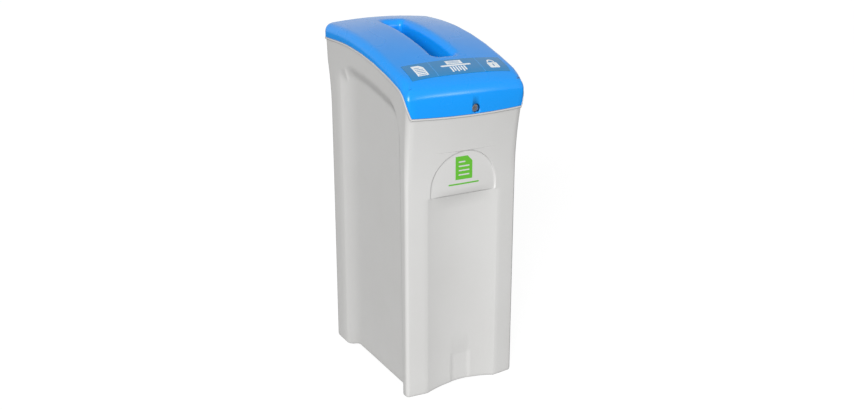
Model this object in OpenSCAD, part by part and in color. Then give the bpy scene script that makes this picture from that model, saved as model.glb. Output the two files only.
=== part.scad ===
// Secure shredding console: moulded body, hinged and lockable slotted lid, lift-out liner.
// Frame: +Z up, the front faces -Y, origin on the floor under the middle of the footprint.

/* [Overall] */
// Overall width, over the lip of the rim
body_w = 306; // [290:1:330]
// Overall depth, from the middle of the front lip to the back of the hinges
total_d = 462; // [444:1:484]
// Overall height, at the crest of the lid
total_h = 838; // [832:1:870]
// Height of the level rear stretch of the rim
rim_h = 798.5; // [775:0.5:802]

/* [Rim] */
// Radius of the long curve in which the rim falls to the front
rim_long_r = 916; // [900:4:1080]
// Radius of the short curve in which the rim turns down to the front
rim_short_r = 64; // [44:1:70]
// Distance from the lip's back to where the rim starts to fall
rim_level = 71; // [45:1:84]
// How far the front rim dips at its middle
rim_dip = 4; // [0:0.5:8]
// How far the front bulges in plan at its middle
front_bulge = 8.5; // [4:0.5:12]
// Height of the lip round the rim
lip_h = 5; // [4:0.5:6]
// How far the lip stands out from the wall
lip_out = 3.5; // [3:0.5:5]

/* [Body walls] */
// Wall thickness of the body
body_wall = 3.5; // [3:0.1:4.2]
// Outward flare of the side walls up to the rim
side_flare = 3.5; // [0.5:0.5:5]
// Outward flare of the front wall up to the rim
front_flare = 17; // [10:0.5:18]
// Outward flare of the rear wall up to the hinges
rear_flare = 12.5; // [6:0.5:14]
// Height over which the walls flare
flare_h = 175; // [150:5:190]
// How far the walls spread again from the waist to the floor
foot_spread = 1; // [0:0.5:3]
// Height of the waist
waist_h = 450; // [400:10:470]
// Radius of the front vertical corners
front_corner_r = 8; // [6:0.5:14]
// Radius of the rear vertical corners
rear_corner_r = 23; // [18:0.5:30]

/* [Base] */
// Radius of the bottom edges
foot_r = 8; // [5:0.5:10]
// Height of the underside between the feet
underside_h = 24; // [21:0.5:26]
// Thickness of the floor
floor_t = 4; // [3:0.5:6]
// How far the side panels stop above the floor
panel_lift = 18; // [12:0.5:20]
// Rise of the bottom edge at the middle of the channel
channel_lift = 9; // [5:0.5:10]

/* [Side panels] */
// Depth of the recessed side panels
panel_depth = 10; // [7:0.5:14]
// Gap between the rim and the top of a panel
panel_drop = 45; // [40:1:56]
// Height over which a panel's top slopes in
panel_fade = 34; // [24:1:44]
// Radius of a panel's upper corners
panel_corner_r = 42; // [30:1:50]
// Width of the front columns at the rim
column_top = 31; // [26:1:38]
// Width of the front columns at the floor
column_foot = 17; // [14:1:24]
// Width of the rear columns
column_rear = 72; // [62:1:80]
// Length of a panel's sloping rear flank
rear_flank = 34; // [24:1:40]
// Length of a panel's steep front flank
front_flank = 6; // [4:0.5:9]

/* [Front] */
// Half the width of the front channel
channel_hw = 93; // [86:1:98]
// Depth of the front channel at its middle
channel_depth = 11; // [8:0.5:16]
// Height of the channel's top edge
channel_h = 488; // [470:1:492]
// Height of the slope at the channel's top
channel_slope = 5; // [3:0.5:8]
// Half the width of the arched pad
arch_hw = 84.5; // [74:0.5:86]
// Height of the arch's spring line
arch_spring_h = 500; // [494:1:506]
// Rise of the arch above its spring line
arch_rise = 89; // [80:1:92]
// Depth of the pad behind the waist of the front
pad_depth = 2.5; // [1.5:0.5:3]

/* [Lid] */
// Wall thickness of the lid
lid_wall = 3; // [2.5:0.1:3.5]
// Running gap between the lid and the rim
lid_gap = 0.6; // [0.4:0.1:1]
// How far the lid's edge stands back from the lip
lid_inset = 1.3; // [0.5:0.1:1.5]
// Drop of the lid's crown from its middle to its shoulders
lid_crown = 9.5; // [8:0.5:16]
// Drop of the lid's front corners below the middle of its front
nose_crown = 4; // [0:0.5:5]
// Radius of the long curve in which the lid falls to the front
lid_long_r = 903; // [870:3:1002]
// Radius of the curve over the lid's front
lid_nose_r = 109; // [102:1:114]
// Distance from the front lip to where the lid's nose starts
lid_nose = 49; // [44:1:52]
// Distance from the lip's back to where the lid starts to fall
lid_level = 49.5; // [30:0.5:60]
// Radius of the lid's side shoulders
side_shoulder_r = 18.5; // [10:0.5:19]
// Radius of the lid's rear roll
rear_shoulder_r = 10.5; // [10:0.5:19]
// Radius of the lid's front shoulder
front_shoulder_r = 10; // [8:0.5:12]
// Height of the locating rib below the lid's edge
rib_h = 6; // [4:0.5:7]
// Thickness of the locating rib
rib_t = 2.5; // [2:0.1:3]
// Clearance between the rib and the body's wall
rib_gap = 2.5; // [2:0.1:3]

/* [Slot] */
// Width of the slot between its walls
slot_w = 52; // [40:1:60]
// Distance from the front lip to the slot's front wall
slot_front = 114; // [108:1:130]
// Length of the slot between its walls
slot_len = 256; // [220:1:262]
// Radius of the slot's rolled edge
slot_roll_r = 18; // [12:0.5:20]
// Radius of the slot's corners
slot_corner_r = 10; // [6:0.5:14]
// Height of the throat's lower edge above the floor
throat_h = 735; // [725:1:750]

/* [Label] */
// Half the width of the label strip across the lid
label_hw = 126; // [110:1:128]
// Length of the label strip over the lid
label_len = 53; // [40:1:56]
// Distance from the front lip to the strip's front edge
label_front = 33; // [31:1:36]
// Thickness of the label strip
label_t = 0.5; // [0.3:0.1:0.8]

/* [Hinges] */
// Radius of the hinge knuckles
knuckle_r = 5.5; // [5:0.1:6]
// Radius of the hinge pins
pin_r = 2.5; // [2:0.1:3]
// Running clearance round the hinge pins
pin_gap = 0.05; // [0.02:0.01:0.1]
// Distance of each hinge from the middle
hinge_x = 78; // [60:1:85]
// Width of a hinge leaf
leaf_w = 44; // [38:1:50]
// Thickness of a hinge leaf
leaf_t = 2; // [1.6:0.1:2.2]
// Height of the body leaf
body_leaf_h = 48; // [40:1:52]
// Height of the lid leaf above the rim
lid_leaf_h = 20; // [19:0.5:21]
// Width of the middle knuckle
knuckle_w = 16; // [12:0.5:20]
// Gap between knuckles
knuckle_gap = 0.5; // [0.3:0.1:0.8]
// Opening angle at which the heels meet the body leaves
lid_open = 100; // [92:1:104]

/* [Fasteners] */
// Radius of the hinge bolts
bolt_r = 2.5; // [2:0.1:3]
// Radius of the bolt heads
bolt_head_r = 4.6; // [4.2:0.1:5.2]
// Height of the bolt heads
bolt_head_h = 2.8; // [2.2:0.1:3.2]
// Height of the nuts
nut_h = 4; // [3:0.1:4.4]
// Clearance round bolts and rivets in their holes
hole_gap = 0.25; // [0.15:0.05:0.4]
// Radius of the strike's screws
strike_screw_r = 2; // [1.5:0.1:2.3]

/* [Lock] */
// Distance of the lock from the middle
lock_x = 16.5; // [4:0.5:18]
// Height of the lock above the lid's edge
lock_rise = 12; // [11.6:0.1:13]
// Radius of the lock's pocket
pocket_r = 10.4; // [9.5:0.1:10.8]
// Depth of the lock's pocket
pocket_depth = 8; // [6:0.5:9]
// Thickness of the pocket's walls
pocket_wall = 2.5; // [2:0.1:3]
// Thickness of the pocket's floor
pocket_floor = 4; // [4:0.1:5]
// Radius of the lock barrel's threaded body
barrel_r = 6.5; // [6:0.1:7]
// Radius of the lock barrel's flange
flange_r = 8; // [7.6:0.1:8.6]
// Thickness of the lock barrel's flange
flange_t = 2; // [1.5:0.1:2.5]
// Radius of the keyed plug
plug_r = 4.45; // [4:0.05:5]
// Length of the cam from the lock's axis
cam_len = 30; // [27:0.5:31]
// Width of the cam
cam_w = 11; // [9:0.5:11.5]
// Thickness of the cam
cam_t = 2; // [1.6:0.1:2.2]

/* [Strike] */
// Width of the strike
strike_w = 26; // [22:1:32]
// Thickness of the strike
strike_t = 2; // [1.6:0.1:2.2]
// Clearance between the cam and the strike's ledge
strike_gap = 0.7; // [0.4:0.1:1]
// Height of the strike's block on the wall
block_h = 32; // [28:1:36]

/* [Liner] */
// Wall thickness of the liner
liner_t = 1; // [0.8:0.1:1.5]
// Gap between the liner's hem and the body at the panels
liner_gap = 2; // [1:0.5:4]
// Height of the liner
liner_h = 612; // [550:1:618]
// Radius of the liner's vertical corners
liner_corner_r = 18; // [12:1:24]
// How far the liner's hem stands out
hem_out = 3.5; // [2:0.5:4]
// Height of the liner's hem
hem_h = 8; // [6:0.5:12]

/* [Bails] */
// Radius of the bail wire
wire_r = 2.25; // [2:0.05:2.5]
// Half the width of a bail, to its legs
bail_hw = 56; // [45:1:62]
// Length of a bail from its pivots
bail_len = 60; // [45:1:64]
// Radius of a bail's bends
bail_bend_r = 12; // [8:1:16]
// Distance of the bail pivots from the liner's wall
bail_off = 8; // [7:0.5:10]
// Depth of the bail pivots below the liner's hem
bail_drop = 18; // [16:1:24]
// Thickness of the bail ears
ear_t = 2; // [1.5:0.1:2.5]
// Radius of the ears' rivets
rivet_r = 2; // [1.5:0.1:2.4]

/* [Hidden] */
$fn = 48;
// Small overlap that joins parts of one solid
weld = 0.8;
// Clearance between seated faces of two pieces
seat = 0.1;

// ---- plan of the rim ----
half_w = body_w / 2;
front_y = -(total_d / 2 - front_bulge);
back_y = total_d / 2 - 2 * knuckle_r - 1;
lip_front_r = front_corner_r + lip_out;
lip_rear_r = rear_corner_r + lip_out;
waist_hw = half_w - lip_out - side_flare;
waist_front = -front_y - lip_out - front_flare;
waist_back = back_y - lip_out - rear_flare;

// ---- rim curve: level at the rear, a long arc, a short arc, then down to the front ----
rim_level_y = back_y - rim_level;
rim_long_z = rim_h - rim_long_r;
rim_short_y = front_y + rim_short_r;
rim_short_z = rim_long_z
    + sqrt(pow(rim_long_r - rim_short_r, 2) - pow(rim_level_y - rim_short_y, 2));
rim_join_y = rim_level_y
    + (rim_short_y - rim_level_y) * rim_long_r / (rim_long_r - rim_short_r);
front_rim_z = rim_short_z;
rim_dip_z = front_rim_z - rim_dip;

function clamp(v) = min(1, max(0, v));
function mix(a, b, t) = a + (b - a) * t;
function smooth(t) = let (c = clamp(t)) c * c * (3 - 2 * c);
function bulge(x, hw) = front_bulge * (1 - pow(x / hw, 2));
function rim_z(x, y) =
    y >= rim_level_y ? rim_h
    : y >= rim_join_y ? rim_long_z + sqrt(pow(rim_long_r, 2) - pow(rim_level_y - y, 2))
    : y > front_y ? rim_short_z + sqrt(pow(rim_short_r, 2) - pow(y - rim_short_y, 2))
    : front_rim_z - rim_dip * (1 - pow(x / half_w, 2));

// ---- stations along half of the outline, from the middle of the front to the rear ----
arch_n = 10;
i_edge = 12;
i_corner = i_edge + 2;
i_column = i_corner + 4;
i_a = i_column + 4;
i_b = i_a + 1;
i_c = i_b + 9;
i_d = i_c + 1;
i_rear = i_d + 1;
i_back = i_rear + 5;
half_n = i_back + 4;
ring_n = 2 * (half_n - 1);

// Flare of the walls at a depth u below the rim, from 0 at the waist to 1 at the rim
function flare(u, level = 0) = pow(clamp(1 - (u - level) / (flare_h - level)), 2);
function spread(z) = foot_spread * clamp(1 - z / waist_h);
hinge_zone = body_leaf_h + 8;

// Sizes of the walls at height z and depth u: half width, front, rear, panel edges a to d
function level_of(z, u) = let (
    s = spread(z),
    column = mix(column_foot, column_top, clamp(z / rim_h)),
    ya = -(waist_front - column),
    yd = waist_back - column_rear
) [
    waist_hw + side_flare * flare(u) + s,
    waist_front + front_flare * flare(u) + s,
    waist_back + rear_flare * flare(u, hinge_zone) + s,
    ya, ya + front_flank, yd - rear_flank, yd
];

// Places of the stations along a panel, dense at its rounded corners
panel_marks = [0, 0.18, 0.5, 1];
function panel_y(i, v) = let (j = i - i_b)
    j < 4 ? v[4] + panel_corner_r * panel_marks[j]
    : j > 5 ? v[5] - panel_corner_r * panel_marks[9 - j]
    : mix(v[4] + panel_corner_r, v[5] - panel_corner_r, (j - 3) / 3);

// Plan point of station i on a wall at one level, moved outwards by o; x_front is the
// place of the stations across the front
function plan_point(i, v, o, x_front) = let (
    hw = v[0] + o,
    df = v[1] + o,
    dr = v[2] + o,
    rf = max(1, front_corner_r + o),
    rr = max(1, rear_corner_r + o)
)
    i <= i_edge ? [x_front, -df - bulge(x_front, hw)]
    : i < i_corner ? let (x = (channel_hw + hw - rf) / 2) [x, -df - bulge(x, hw)]
    : i <= i_column ? let (
        a = -90 + 90 * (i - i_corner) / (i_column - i_corner),
        x = hw - rf + rf * cos(a)
    ) [x, -df + rf + rf * sin(a) - bulge(x, hw)]
    : i < i_a ? [hw, mix(-df + rf, v[3], (i - i_column) / (i_a - i_column))]
    : i == i_a ? [hw, v[3]]
    : i <= i_c ? [hw, panel_y(i, v)]
    : i == i_d ? [hw, v[6]]
    : i <= i_back ? let (
        a = 90 * (i - i_rear) / (i_back - i_rear)
    ) [hw - rr + rr * cos(a), dr - rr + rr * sin(a)]
    : [(hw - rr) * (1 - (i - i_back) / (half_n - 1 - i_back)), dr];

// Height of the rim at each station, taken on the lip's outer edge
lip_level = [
    half_w - lip_out, -front_y - lip_out, back_y - lip_out,
    -(waist_front - column_top), -(waist_front - column_top) + front_flank,
    waist_back - column_rear - rear_flank, waist_back - column_rear
];
function uniform_x(i) = channel_hw * i / i_edge;
lip_line = [
    for (i = [0 : half_n - 1]) let (
        p = plan_point(i, lip_level, lip_out, uniform_x(i)),
        z = i <= i_corner ? rim_z(p[0], front_y)
            : max(rim_z(p[0], p[1] + bulge(p[0], half_w)), front_rim_z)
    ) [p[0], p[1], z]
];
function station_rim(i) = lip_line[i][2];
// Steepness of the rim at the stations beside the front corners
steep_line = [
    for (i = [0 : half_n - 1])
        i < i_corner || i > i_a ? 1
        : let (
            a = lip_line[i - 1],
            b = lip_line[i + 1],
            run = norm([b[0] - a[0], b[1] - a[1]])
        ) min(2.4, sqrt(1 + pow((b[2] - a[2]) / run, 2)))
];
// Plan point on the rim, moved outwards from the wall by o
function rim_point(i, o) = plan_point(i, level_of(station_rim(i), 0), o, uniform_x(i));

// Station i of a rounded rectangle, placed like the points of the plan line from station i_s on
function round_point(i, hw, y0, y1, r, line, i_s) = let (
    start_y = line[i_s][1],
    end_y = line[i_rear][1]
)
    i <= i_corner ? [(hw - r) * line[i][0] / line[i_corner][0], y0]
    : i <= i_s ? let (a = -90 + 90 * (i - i_corner) / (i_s - i_corner))
        [hw - r + r * cos(a), y0 + r + r * sin(a)]
    : i <= i_rear ? [hw, mix(y0 + r, y1 - r, (line[i][1] - start_y) / (end_y - start_y))]
    : i <= i_back ? let (a = 90 * (i - i_rear) / (i_back - i_rear))
        [hw - r + r * cos(a), y1 - r + r * sin(a)]
    : [(hw - r) * (1 - (i - i_back) / (half_n - 1 - i_back)), y1];

// ---- recesses ----
channel_r = (pow(channel_hw, 2) + pow(channel_depth, 2)) / (2 * channel_depth);
arch_top_z = arch_spring_h + 0.985 * arch_rise;
function arch_half(z) =
    arch_hw * sqrt(1 - pow(clamp((z - arch_spring_h) / arch_rise), 2));
// Place across the front of station i on a row patterned for the height z; m widens the arch
function front_x(i, z, m) =
    z < channel_h - 0.1 || z > arch_top_z + 0.1 ? uniform_x(i)
    : i <= arch_n ? (arch_half(z) + m) * i / arch_n
    : i == arch_n + 1 ? arch_half(z) + m + 2.5
    : channel_hw;
function channel_in(x) = sqrt(pow(channel_r, 2) - pow(x, 2)) - (channel_r - channel_depth);
function front_in(i, z, x, u) =
    i > i_edge ? 0
    : z < channel_h - channel_slope + 0.1 ? channel_in(min(abs(x), channel_hw))
    : z < arch_top_z + 0.1 && i <= arch_n
        ? pad_depth + front_flare * flare(u) + spread(z)
    : 0;
function panel_round(s) =
    panel_corner_r * (1 - sqrt(1 - pow(1 - clamp(s / panel_corner_r), 2)));
// The recess deepens in a cove from the rear, and ends in a steep flank at the front
function panel_in(i, y, v, u) =
    i < i_b || i > i_c ? 0
    : panel_depth * (1 - 0.3 * pow(1 - clamp((v[5] - y) / panel_corner_r), 2))
        * smooth(
            (u - panel_drop - panel_round(y - v[4]) - 0.4 * panel_round(v[5] - y)) / panel_fade
        );

// How far the inner faces of a panel's flanks lie along the wall, for a unit wall
function inner_way(i) =
    i > i_column && i <= i_a ? -(i - i_column) / (i_a - i_column)
    : i == i_b ? -1
    : i == i_c || i == i_d ? 0.4
    : 0;

// Point of a body wall at station i: z_row picks the recesses, z_x the pattern across the
// front, z is the height, o the offset outwards and inner is 1 on the inside
function wall_point(i, z_row, z_x, z, o, inner) = let (
    u = station_rim(i) - z,
    v = level_of(z, u),
    p = plan_point(i, v, o, front_x(i, z_x, inner * 0.7 * body_wall)),
    in_x = panel_in(i, p[1], v, u + inner * body_wall),
    in_y = front_in(i, z_row, p[0], u),
    shift = inner > 0 ? body_wall * clamp((u - 20) / 15) : max(0, -0.4 * o)
) [p[0] - in_x, p[1] + in_y + shift * inner_way(i), z];

// ---- rings and skins ----
function half_index(k) = k < half_n ? k : ring_n - k;
function side_of(k) = k < half_n ? 1 : -1;
function full(points) = [
    for (k = [0 : ring_n - 1]) let (p = points[half_index(k)]) [side_of(k) * p[0], p[1], p[2]]
];

// Closed solid through rings of equal length; caps closes the ends, otherwise the last
// ring joins the first
module skin(rings, caps) {
    n = len(rings[0]);
    m = len(rings);
    spans = caps ? m - 1 : m;
    faces = [
        for (j = [0 : spans - 1], k = [0 : n - 1]) let (
            a = j * n + k,
            b = j * n + (k + 1) % n,
            c = ((j + 1) % m) * n + (k + 1) % n,
            d = ((j + 1) % m) * n + k,
            rises = rings[(j + 1) % m][k][2] > rings[j][k][2],
            right = k < n / 2
        ) each rises == right ? [[a, d, c], [a, c, b]] : [[a, d, b], [b, d, c]]
    ];
    // Each cap is a fan from a point on a rounded corner
    h = n - i_column + 1;
    ends = caps ? [
        for (k = [1 : n - 2]) each [
            [h, (h + k) % n, (h + k + 1) % n],
            [for (q = [h, (h + k + 1) % n, (h + k) % n]) (m - 1) * n + q]
        ]
    ] : [];
    polyhedron([for (r = rings) each r], concat(faces, ends), convexity = 10);
}

// Row of a wall whose height across the front is z_row + inner * body_wall, and which
// follows the rim along the sides
function share_row(z_row, o, inner, z_x = undef, lift = 0) = let (
    zr = z_row + inner * body_wall + lift
) full([
    for (i = [0 : half_n - 1]) wall_point(
        i, z_row + lift, is_undef(z_x) ? z_row : z_x,
        i <= i_corner ? zr : zr * station_rim(i) / front_rim_z, o, inner
    )
]);
// Row of a wall at a depth u below the rim
function depth_row(u, o, inner, stretch = 0) = full([
    for (i = [0 : half_n - 1]) wall_point(
        i, arch_top_z + 1, arch_top_z + 1,
        station_rim(i) - u * (stretch > 0 ? steep_line[i] : 1), o, inner
    )
]);
// Row of a wall half way between the row that closes the arch and the depth u
function mid_row(u, o, inner) = let (zr = arch_top_z + 1.5 + inner * body_wall) full([
    for (i = [0 : half_n - 1]) wall_point(
        i, arch_top_z + 1, arch_top_z + 1,
        (zr * (i <= i_corner ? 1 : station_rim(i) / front_rim_z) + station_rim(i) - u) / 2,
        o, inner
    )
]);
// Row of a wall at a height z above the foot, which is raised at the panels and the channel
function foot_lift(i) =
    i < i_edge ? channel_lift * (1 - pow(i / i_edge, 2))
    : i >= i_b && i <= i_c
        ? panel_lift * (i == i_b ? 0.4 : i == i_c ? 0.6 : i == i_c - 1 ? 0.75 : 1)
    : 0;
function foot_row(z, o, inner, lift) = full([
    for (i = [0 : half_n - 1]) wall_point(i, z, z, z + lift * foot_lift(i), o, inner)
]);
// Rounded rectangle of the floor, a distance g inside the recesses of the walls
foot_line = [
    for (i = [0 : half_n - 1]) plan_point(i, level_of(0, total_h), -foot_r, uniform_x(i))
];
function plate_row(z, g) = full([
    for (i = [0 : half_n - 1]) let (
        p = round_point(
            i, waist_hw - panel_depth - g,
            -(waist_front + front_bulge - channel_depth - g), waist_back - g, 12, foot_line, i_b
        )
    ) [p[0], p[1], z]
]);

arch_shares = [0.02, 0.3, 0.5, 0.66, 0.79, 0.89, 0.95, 0.985];
inner_shares = [0.02, 0.4, 0.66, 0.86, 0.985];
wall_depths = [84, 76, 68, 60, 52, 44, 34, 22];
inner_depths = [80, 72, 62, 54, 44, 30, 14];
floor_z = underside_h + floor_t;

body_rings = concat(
    [
        plate_row(underside_h, foot_r + 2.5),
        foot_row(underside_h - 0.5, -foot_r - 1, 0, 0),
        foot_row(0, -foot_r - 0.4, 0, 1),
        foot_row(0, -foot_r * 0.6, 0, 1),
        foot_row(foot_r * 0.3, -foot_r * 0.18, 0, 1),
        foot_row(foot_r, 0, 0, 1),
        share_row(30, 0, 0),
        share_row(240, 0, 0),
        share_row(channel_h - channel_slope, 0, 0),
        share_row(channel_h, 0, 0)
    ],
    [for (a = arch_shares) share_row(arch_spring_h + a * arch_rise, 0, 0)],
    [share_row(arch_top_z, 0, 0, arch_top_z, 1.5), mid_row(wall_depths[0], 0, 0)],
    [for (u = wall_depths) depth_row(u, 0, 0)],
    [
        depth_row(lip_h, 0, 0, 1),
        depth_row(lip_h - 0.9, lip_out - 1, 0, 1),
        depth_row(lip_h - 1.9, lip_out, 0, 1),
        depth_row(1, lip_out, 0, 1),
        depth_row(0, lip_out - 1, 0),
        depth_row(0, -body_wall, 1)
    ],
    [for (k = [len(inner_depths) - 1 : -1 : 0]) depth_row(inner_depths[k], -body_wall, 1)],
    [mid_row(inner_depths[0], -body_wall, 1)],
    [share_row(arch_top_z, -body_wall, 1, arch_top_z, 1.5)],
    [
        for (k = [len(inner_shares) - 1 : -1 : 0])
            share_row(arch_spring_h + inner_shares[k] * arch_rise, -body_wall, 1)
    ],
    [
        share_row(channel_h, -body_wall, 1),
        share_row(channel_h - channel_slope, -body_wall, 1),
        foot_row(floor_z + 3, -body_wall, 1, 0),
        foot_row(floor_z + 0.5, -body_wall - 3, 1, 0),
        plate_row(floor_z, body_wall + 4)
    ]
);

// ---- lid surface ----
lid_level_y = back_y - lid_level;
lid_long_z = total_h - lid_long_r;
nose_join_y = -total_d / 2 + lid_nose;
nose_join_z = lid_long_z + sqrt(pow(lid_long_r, 2) - pow(lid_level_y - nose_join_y, 2));
nose_y = nose_join_y + (lid_level_y - nose_join_y) * lid_nose_r / lid_long_r;
nose_z = nose_join_z - (nose_join_z - lid_long_z) * lid_nose_r / lid_long_r;
function lid_profile(y) =
    y >= lid_level_y ? total_h
    : y >= nose_join_y ? lid_long_z + sqrt(pow(lid_long_r, 2) - pow(lid_level_y - y, 2))
    : nose_z + sqrt(max(1, pow(lid_nose_r, 2) - pow(y - nose_y, 2)));
function nose_share(y) = smooth((-120 - y) / 80);
function lid_top(x, y) = let (
    c = pow(x / half_w, 2),
    w = nose_share(y)
) lid_profile(y - front_bulge * c * w) - lid_crown * c * (1 - w) - nose_crown * c * c * w;
// Vertical thickness of a wall of unit thickness on the lid's slope
function lid_slant(x, y) = sqrt(1 + pow((lid_top(x, y + 1) - lid_top(x, y - 1)) / 2, 2));

function shoulder(i) =
    i <= i_corner ? front_shoulder_r
    : i < i_column ? mix(front_shoulder_r, side_shoulder_r, (i - i_corner) / 4)
    : i <= i_rear ? side_shoulder_r
    : i < i_back ? mix(side_shoulder_r, rear_shoulder_r, (i - i_rear) / 5)
    : rear_shoulder_r;
function rib_share(i) =
    i <= i_rear ? 1
    : i < i_back ? mix(1, 0.35, (i - i_rear) / 5)
    : 0.35;

// Plan of the slot, grown by g from the throat's wall
slot_y0 = -total_d / 2 + slot_front;
slot_y1 = slot_y0 + slot_len;
function slot_point(i, g) =
    round_point(
        i, slot_w / 2 + g, slot_y0 - g, slot_y1 + g, slot_corner_r + g, lip_line, i_column
    );

lid_o = lip_out - lid_inset;
function lid_plan(i, d) = rim_point(i, lid_o - d);
// Ring of the lid at an inset d, at a height h above the rim
function edge_ring(d, h) = full([
    for (i = [0 : half_n - 1]) let (p = lid_plan(i, d))
        [p[0], p[1], station_rim(i) + h * steep_line[i]]
]);
function rib_ring(d) = full([
    for (i = [0 : half_n - 1]) let (p = lid_plan(i, d))
        [p[0], p[1], station_rim(i) - rib_h * rib_share(i) * steep_line[i]]
]);
// Ring on the lid's shoulder at the angle f; t is the depth below the outer face
function shoulder_ring(f, t) = full([
    for (i = [0 : half_n - 1]) let (
        r = shoulder(i),
        p = lid_plan(i, r - (r - t) * cos(f)),
        low = station_rim(i) + (lid_gap + (t > 0 ? t + 0.4 : 1)) * steep_line[i],
        z = lid_top(p[0], p[1]) - r * (1 - sin(f)) - t * lid_slant(p[0], p[1]) * sin(f)
    ) [p[0], p[1], max(z, low + sin(f))]
]);
// Ring on the lid's top between the shoulder (s = 0) and the slot's roll (s = 1)
function top_ring(s, t) = full([
    for (i = [0 : half_n - 1]) let (
        a = lid_plan(i, shoulder(i)),
        b = slot_point(i, slot_roll_r),
        x = mix(a[0], b[0], s),
        y = mix(a[1], b[1], s)
    ) [x, y, lid_top(x, y) - t * lid_slant(x, y)]
]);
function roll_ring(f, t) = full([
    for (i = [0 : half_n - 1]) let (
        p = slot_point(i, slot_roll_r - (slot_roll_r - t) * sin(f)),
        k = lid_slant(p[0], p[1])
    ) [
        p[0], p[1],
        lid_top(p[0], p[1]) - slot_roll_r * (1 - cos(f)) - t * mix(k, 1, sin(f)) * cos(f)
    ]
]);
function throat_ring(g) = full([
    for (i = [0 : half_n - 1]) let (p = slot_point(i, g)) [p[0], p[1], throat_h]
]);

flange_d = lip_out - lid_inset + body_wall + rib_gap;
lid_rings = concat(
    [edge_ring(0, lid_gap)],
    [for (f = [0, 22.5, 45, 67.5]) shoulder_ring(f, 0)],
    [for (s = [0, 0.12, 0.26, 0.42, 0.6, 0.8]) top_ring(s, 0)],
    [for (f = [0 : 18 : 90]) roll_ring(f, 0)],
    [throat_ring(0), throat_ring(lid_wall)],
    [for (f = [90, 60, 30]) roll_ring(f, lid_wall)],
    [for (s = [1, 0.8, 0.55, 0.3, 0.14]) top_ring(s, lid_wall)],
    [for (f = [90, 60, 30, 0]) shoulder_ring(f, lid_wall)],
    [
        edge_ring(lid_wall, lid_gap + lid_wall),
        edge_ring(flange_d + rib_t, lid_gap + lid_wall),
        rib_ring(flange_d + rib_t),
        rib_ring(flange_d),
        edge_ring(flange_d, lid_gap)
    ]
);

// ---- places of the hinges, the lock and the strike ----
wall_back = back_y - lip_out;
lid_back = back_y - lid_inset;
axis_y = total_d / 2 - knuckle_r;
axis_z = rim_h - 10;
body_leaf_y = wall_back + seat;
lid_leaf_y = lid_back + seat;
jog_y = back_y + 0.5;
body_bolt_z = axis_z - 32;
lid_bolt_z = rim_h + 12;
bolt_dx = leaf_w / 2 - 9;
bore_r = pin_r + pin_gap;
outer_knuckle = (leaf_w - knuckle_w) / 2 - knuckle_gap;

lid_front = front_y - front_bulge + lid_inset;
lock_z = rim_dip_z + lid_gap + lock_rise;
pocket_y = lid_front + pocket_depth;
nut_y = pocket_y + pocket_floor;
cam_y = nut_y + 5;
strike_y = lid_front + flange_d + rib_t + 3;
ledge_z = lock_z + cam_w / 2 + strike_gap;
strike_x = lock_x + 12;
block_top = rim_dip_z - 8;
plate_low = block_top - block_h + 2;
screw_z = block_top - 22;

// ---- places of the liner ----
// Radius of the bends at a bail's tips
tip_bend_r = 4;
liner_hw = waist_hw - panel_depth - body_wall - liner_gap - hem_out;
liner_y0 = -(waist_front + front_bulge - channel_depth - body_wall - liner_gap - hem_out);
liner_y1 = waist_back - body_wall - liner_gap - hem_out;
liner_z = floor_z + seat;
hem_z = liner_z + liner_h;
pivot_z = hem_z - bail_drop;
front_pivot_y = liner_y0 + liner_t + bail_off;
rear_pivot_y = liner_y1 - liner_t - bail_off;
lug_x = bail_hw + tip_bend_r + 1;
rivet_x = lug_x + ear_t + 9;

body_grey = [0.82, 0.82, 0.82];
lid_blue = [0.1, 0.5, 0.9];
steel = [0.7, 0.71, 0.73];
zinc = [0.62, 0.63, 0.62];

// A bar along Y from y0 to y1, round about (x, z)
module bar_y(x, z, y0, y1, r) {
    translate([x, y0, z]) rotate([-90, 0, 0]) cylinder(h = y1 - y0, r = r);
}
module bar_x(x0, x1, y, z, r) {
    translate([x0, y, z]) rotate([0, 90, 0]) cylinder(h = x1 - x0, r = r);
}
module block(x0, x1, y0, y1, z0, z1) {
    translate([x0, y0, z0]) cube([x1 - x0, y1 - y0, z1 - z0]);
}
module hex_y(x, z, y0, y1, flats, bore) {
    translate([x, y0, z]) rotate([-90, 0, 0]) linear_extrude(y1 - y0) difference() {
        circle(r = flats / sqrt(3), $fn = 6);
        circle(r = bore);
    }
}

// Walls of the body, with the strike's block and the hinge bolts' holes
module body_shell() {
    color(body_grey) difference() {
        union() {
            skin(body_rings, true);
            strike_block();
        }
        for (s = [-1, 1], d = [-1, 1])
            bar_y(
                s * hinge_x + d * bolt_dx, body_bolt_z,
                wall_back - body_wall - 2, wall_back + 2, bolt_r + hole_gap
            );
        for (d = [-1, 1])
            bar_y(
                strike_x + strike_w / 2 + d * strike_w / 4, screw_z,
                strike_y - 3.4, strike_y + 1, strike_screw_r + 0.02
            );
    }
}
// Depth behind the front lip of the middle of the front wall, at a height z
function mid_wall(z) =
    lip_out + front_flare * (1 - flare(rim_dip_z - z)) + body_wall / 2 + 0.5;
module strike_block() {
    z0 = block_top - block_h;
    z1 = (z0 + block_top) / 2;
    translate([strike_x - 2, -total_d / 2, 0]) rotate([90, 0, 90])
        linear_extrude(strike_w + 4) polygon([
            [mid_wall(z0 - 4), z0 - 4], [strike_y + total_d / 2, z0 + 1],
            [strike_y + total_d / 2, block_top], [mid_wall(block_top), block_top],
            [mid_wall(z1), z1]
        ]);
}

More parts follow.
